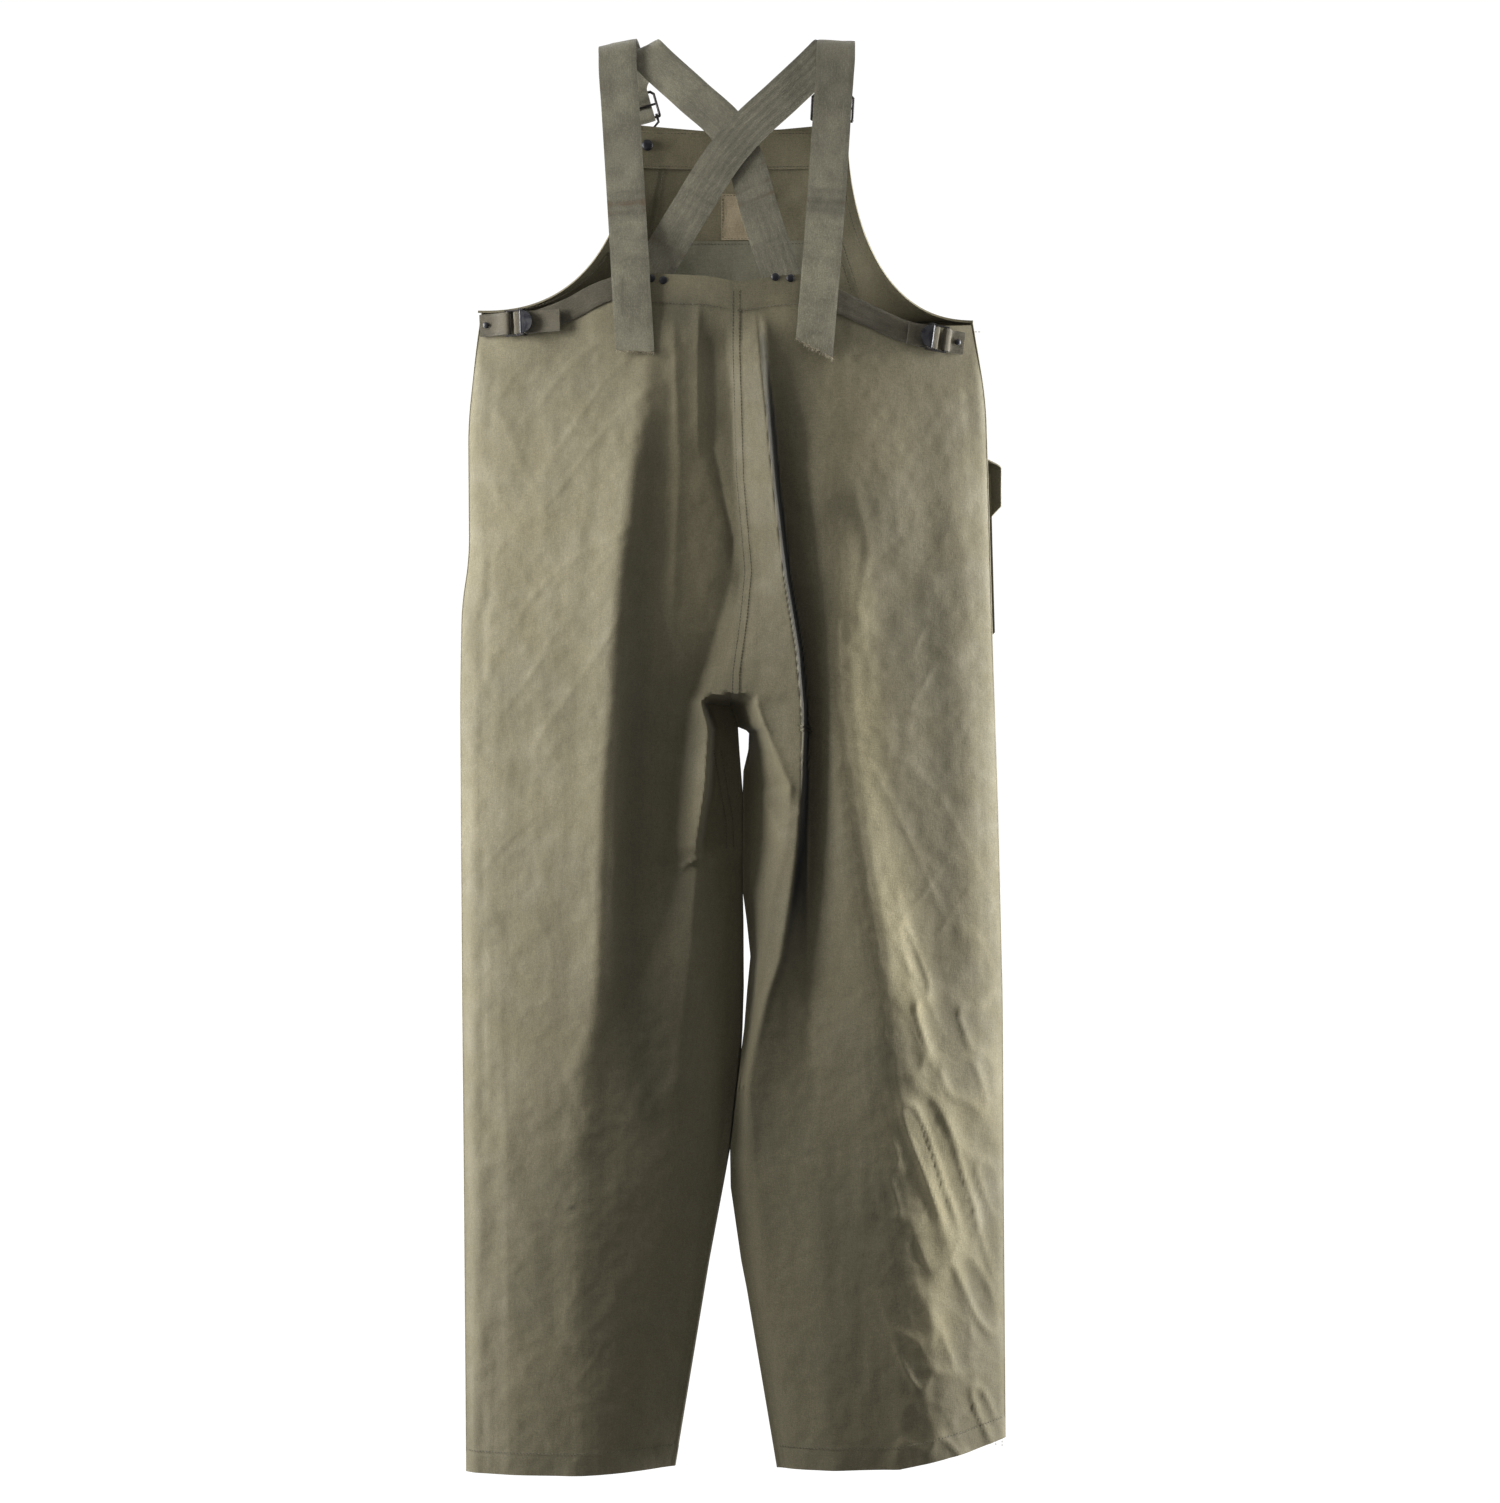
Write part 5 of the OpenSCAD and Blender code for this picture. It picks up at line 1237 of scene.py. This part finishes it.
area_light("left_softbox", (-1.35, -0.40, -0.10), (0.45, 0.8), 42, (-0.1, 0, -0.40))
area_light("right_softbox", (1.5, 0.02, -0.75), (0.10, 1.7), 74, (0.15, -0.03, -0.85))
area_light("left_edge_strip", (-1.4, -0.01, -1.05), (0.2, 1.0), 14, (-0.25, 0, -1.1))
area_light("front_right_softbox", (1.35, 0.45, -0.15), (0.45, 0.9), 34, (0.1, 0, -0.45))
area_light("front_left_softbox", (-1.5, 0.30, -0.7), (0.3, 1.7), 26, (-0.15, 0, -0.8))


def stage_plane(name, corners, faces, base, glow):
    """A plain surface of the room, which glows a little if it has to stay even."""
    obj = new_object(name, new_mesh(name, corners, faces))
    paint = Nodes(name)
    paint.shader.inputs["Base Color"].default_value = grey(base)
    paint.shader.inputs["Roughness"].default_value = 0.95
    paint.shader.inputs["Specular IOR Level"].default_value = 0.1
    paint.shader.inputs["Emission Color"].default_value = grey(1)
    paint.shader.inputs["Emission Strength"].default_value = glow
    obj.data.materials.append(paint.material)
    return obj


FLOOR_Z, FLOOR_REACH, CARD_LOW = -2.2, 40, -2.1
corners = [(x * FLOOR_REACH, y * FLOOR_REACH, FLOOR_Z) for x, y in ((-1, -1), (1, -1), (1, 1), (-1, 1))]
stage_plane("pale_floor", corners, [(0, 1, 2, 3)], 0.15, 0.93)
# dark cards behind, before and below the object, out of the camera's sight: with them the room lights it from the
# sides and the top. name, y of the card, y of its foot, x from and to, top
for name, y, near, left_x, right_x, top_z in (("back_card", -1.5, -0.1, -1.7, 2.4, 0.75),
                                              ("front_card", 1.5, 0.1, -1.6, 1.6, 0.5)):
    corners = [(left_x, y, top_z), (right_x, y, top_z), (right_x, y, CARD_LOW), (left_x, y, CARD_LOW),
               (right_x, near, CARD_LOW), (left_x, near, CARD_LOW)]
    card = stage_plane(name, corners, [(0, 1, 2, 3), (3, 2, 4, 5)], 0.1, 0)
    card.visible_camera = False

for name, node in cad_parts.items():
    if node.hide_render:
        continue
    node.data.materials.clear()
    fastener = any(word in name for word in ("rivet", "burr"))
    soft = any(word in name for word in ("strap", "tab", "pocket", "flap", "facing")) and not fastener
    black = any(word in name for word in ("rivet", "lever", "tack", "snap"))
    node.data.materials.append(WEB if soft else BLACK if black else STEEL)
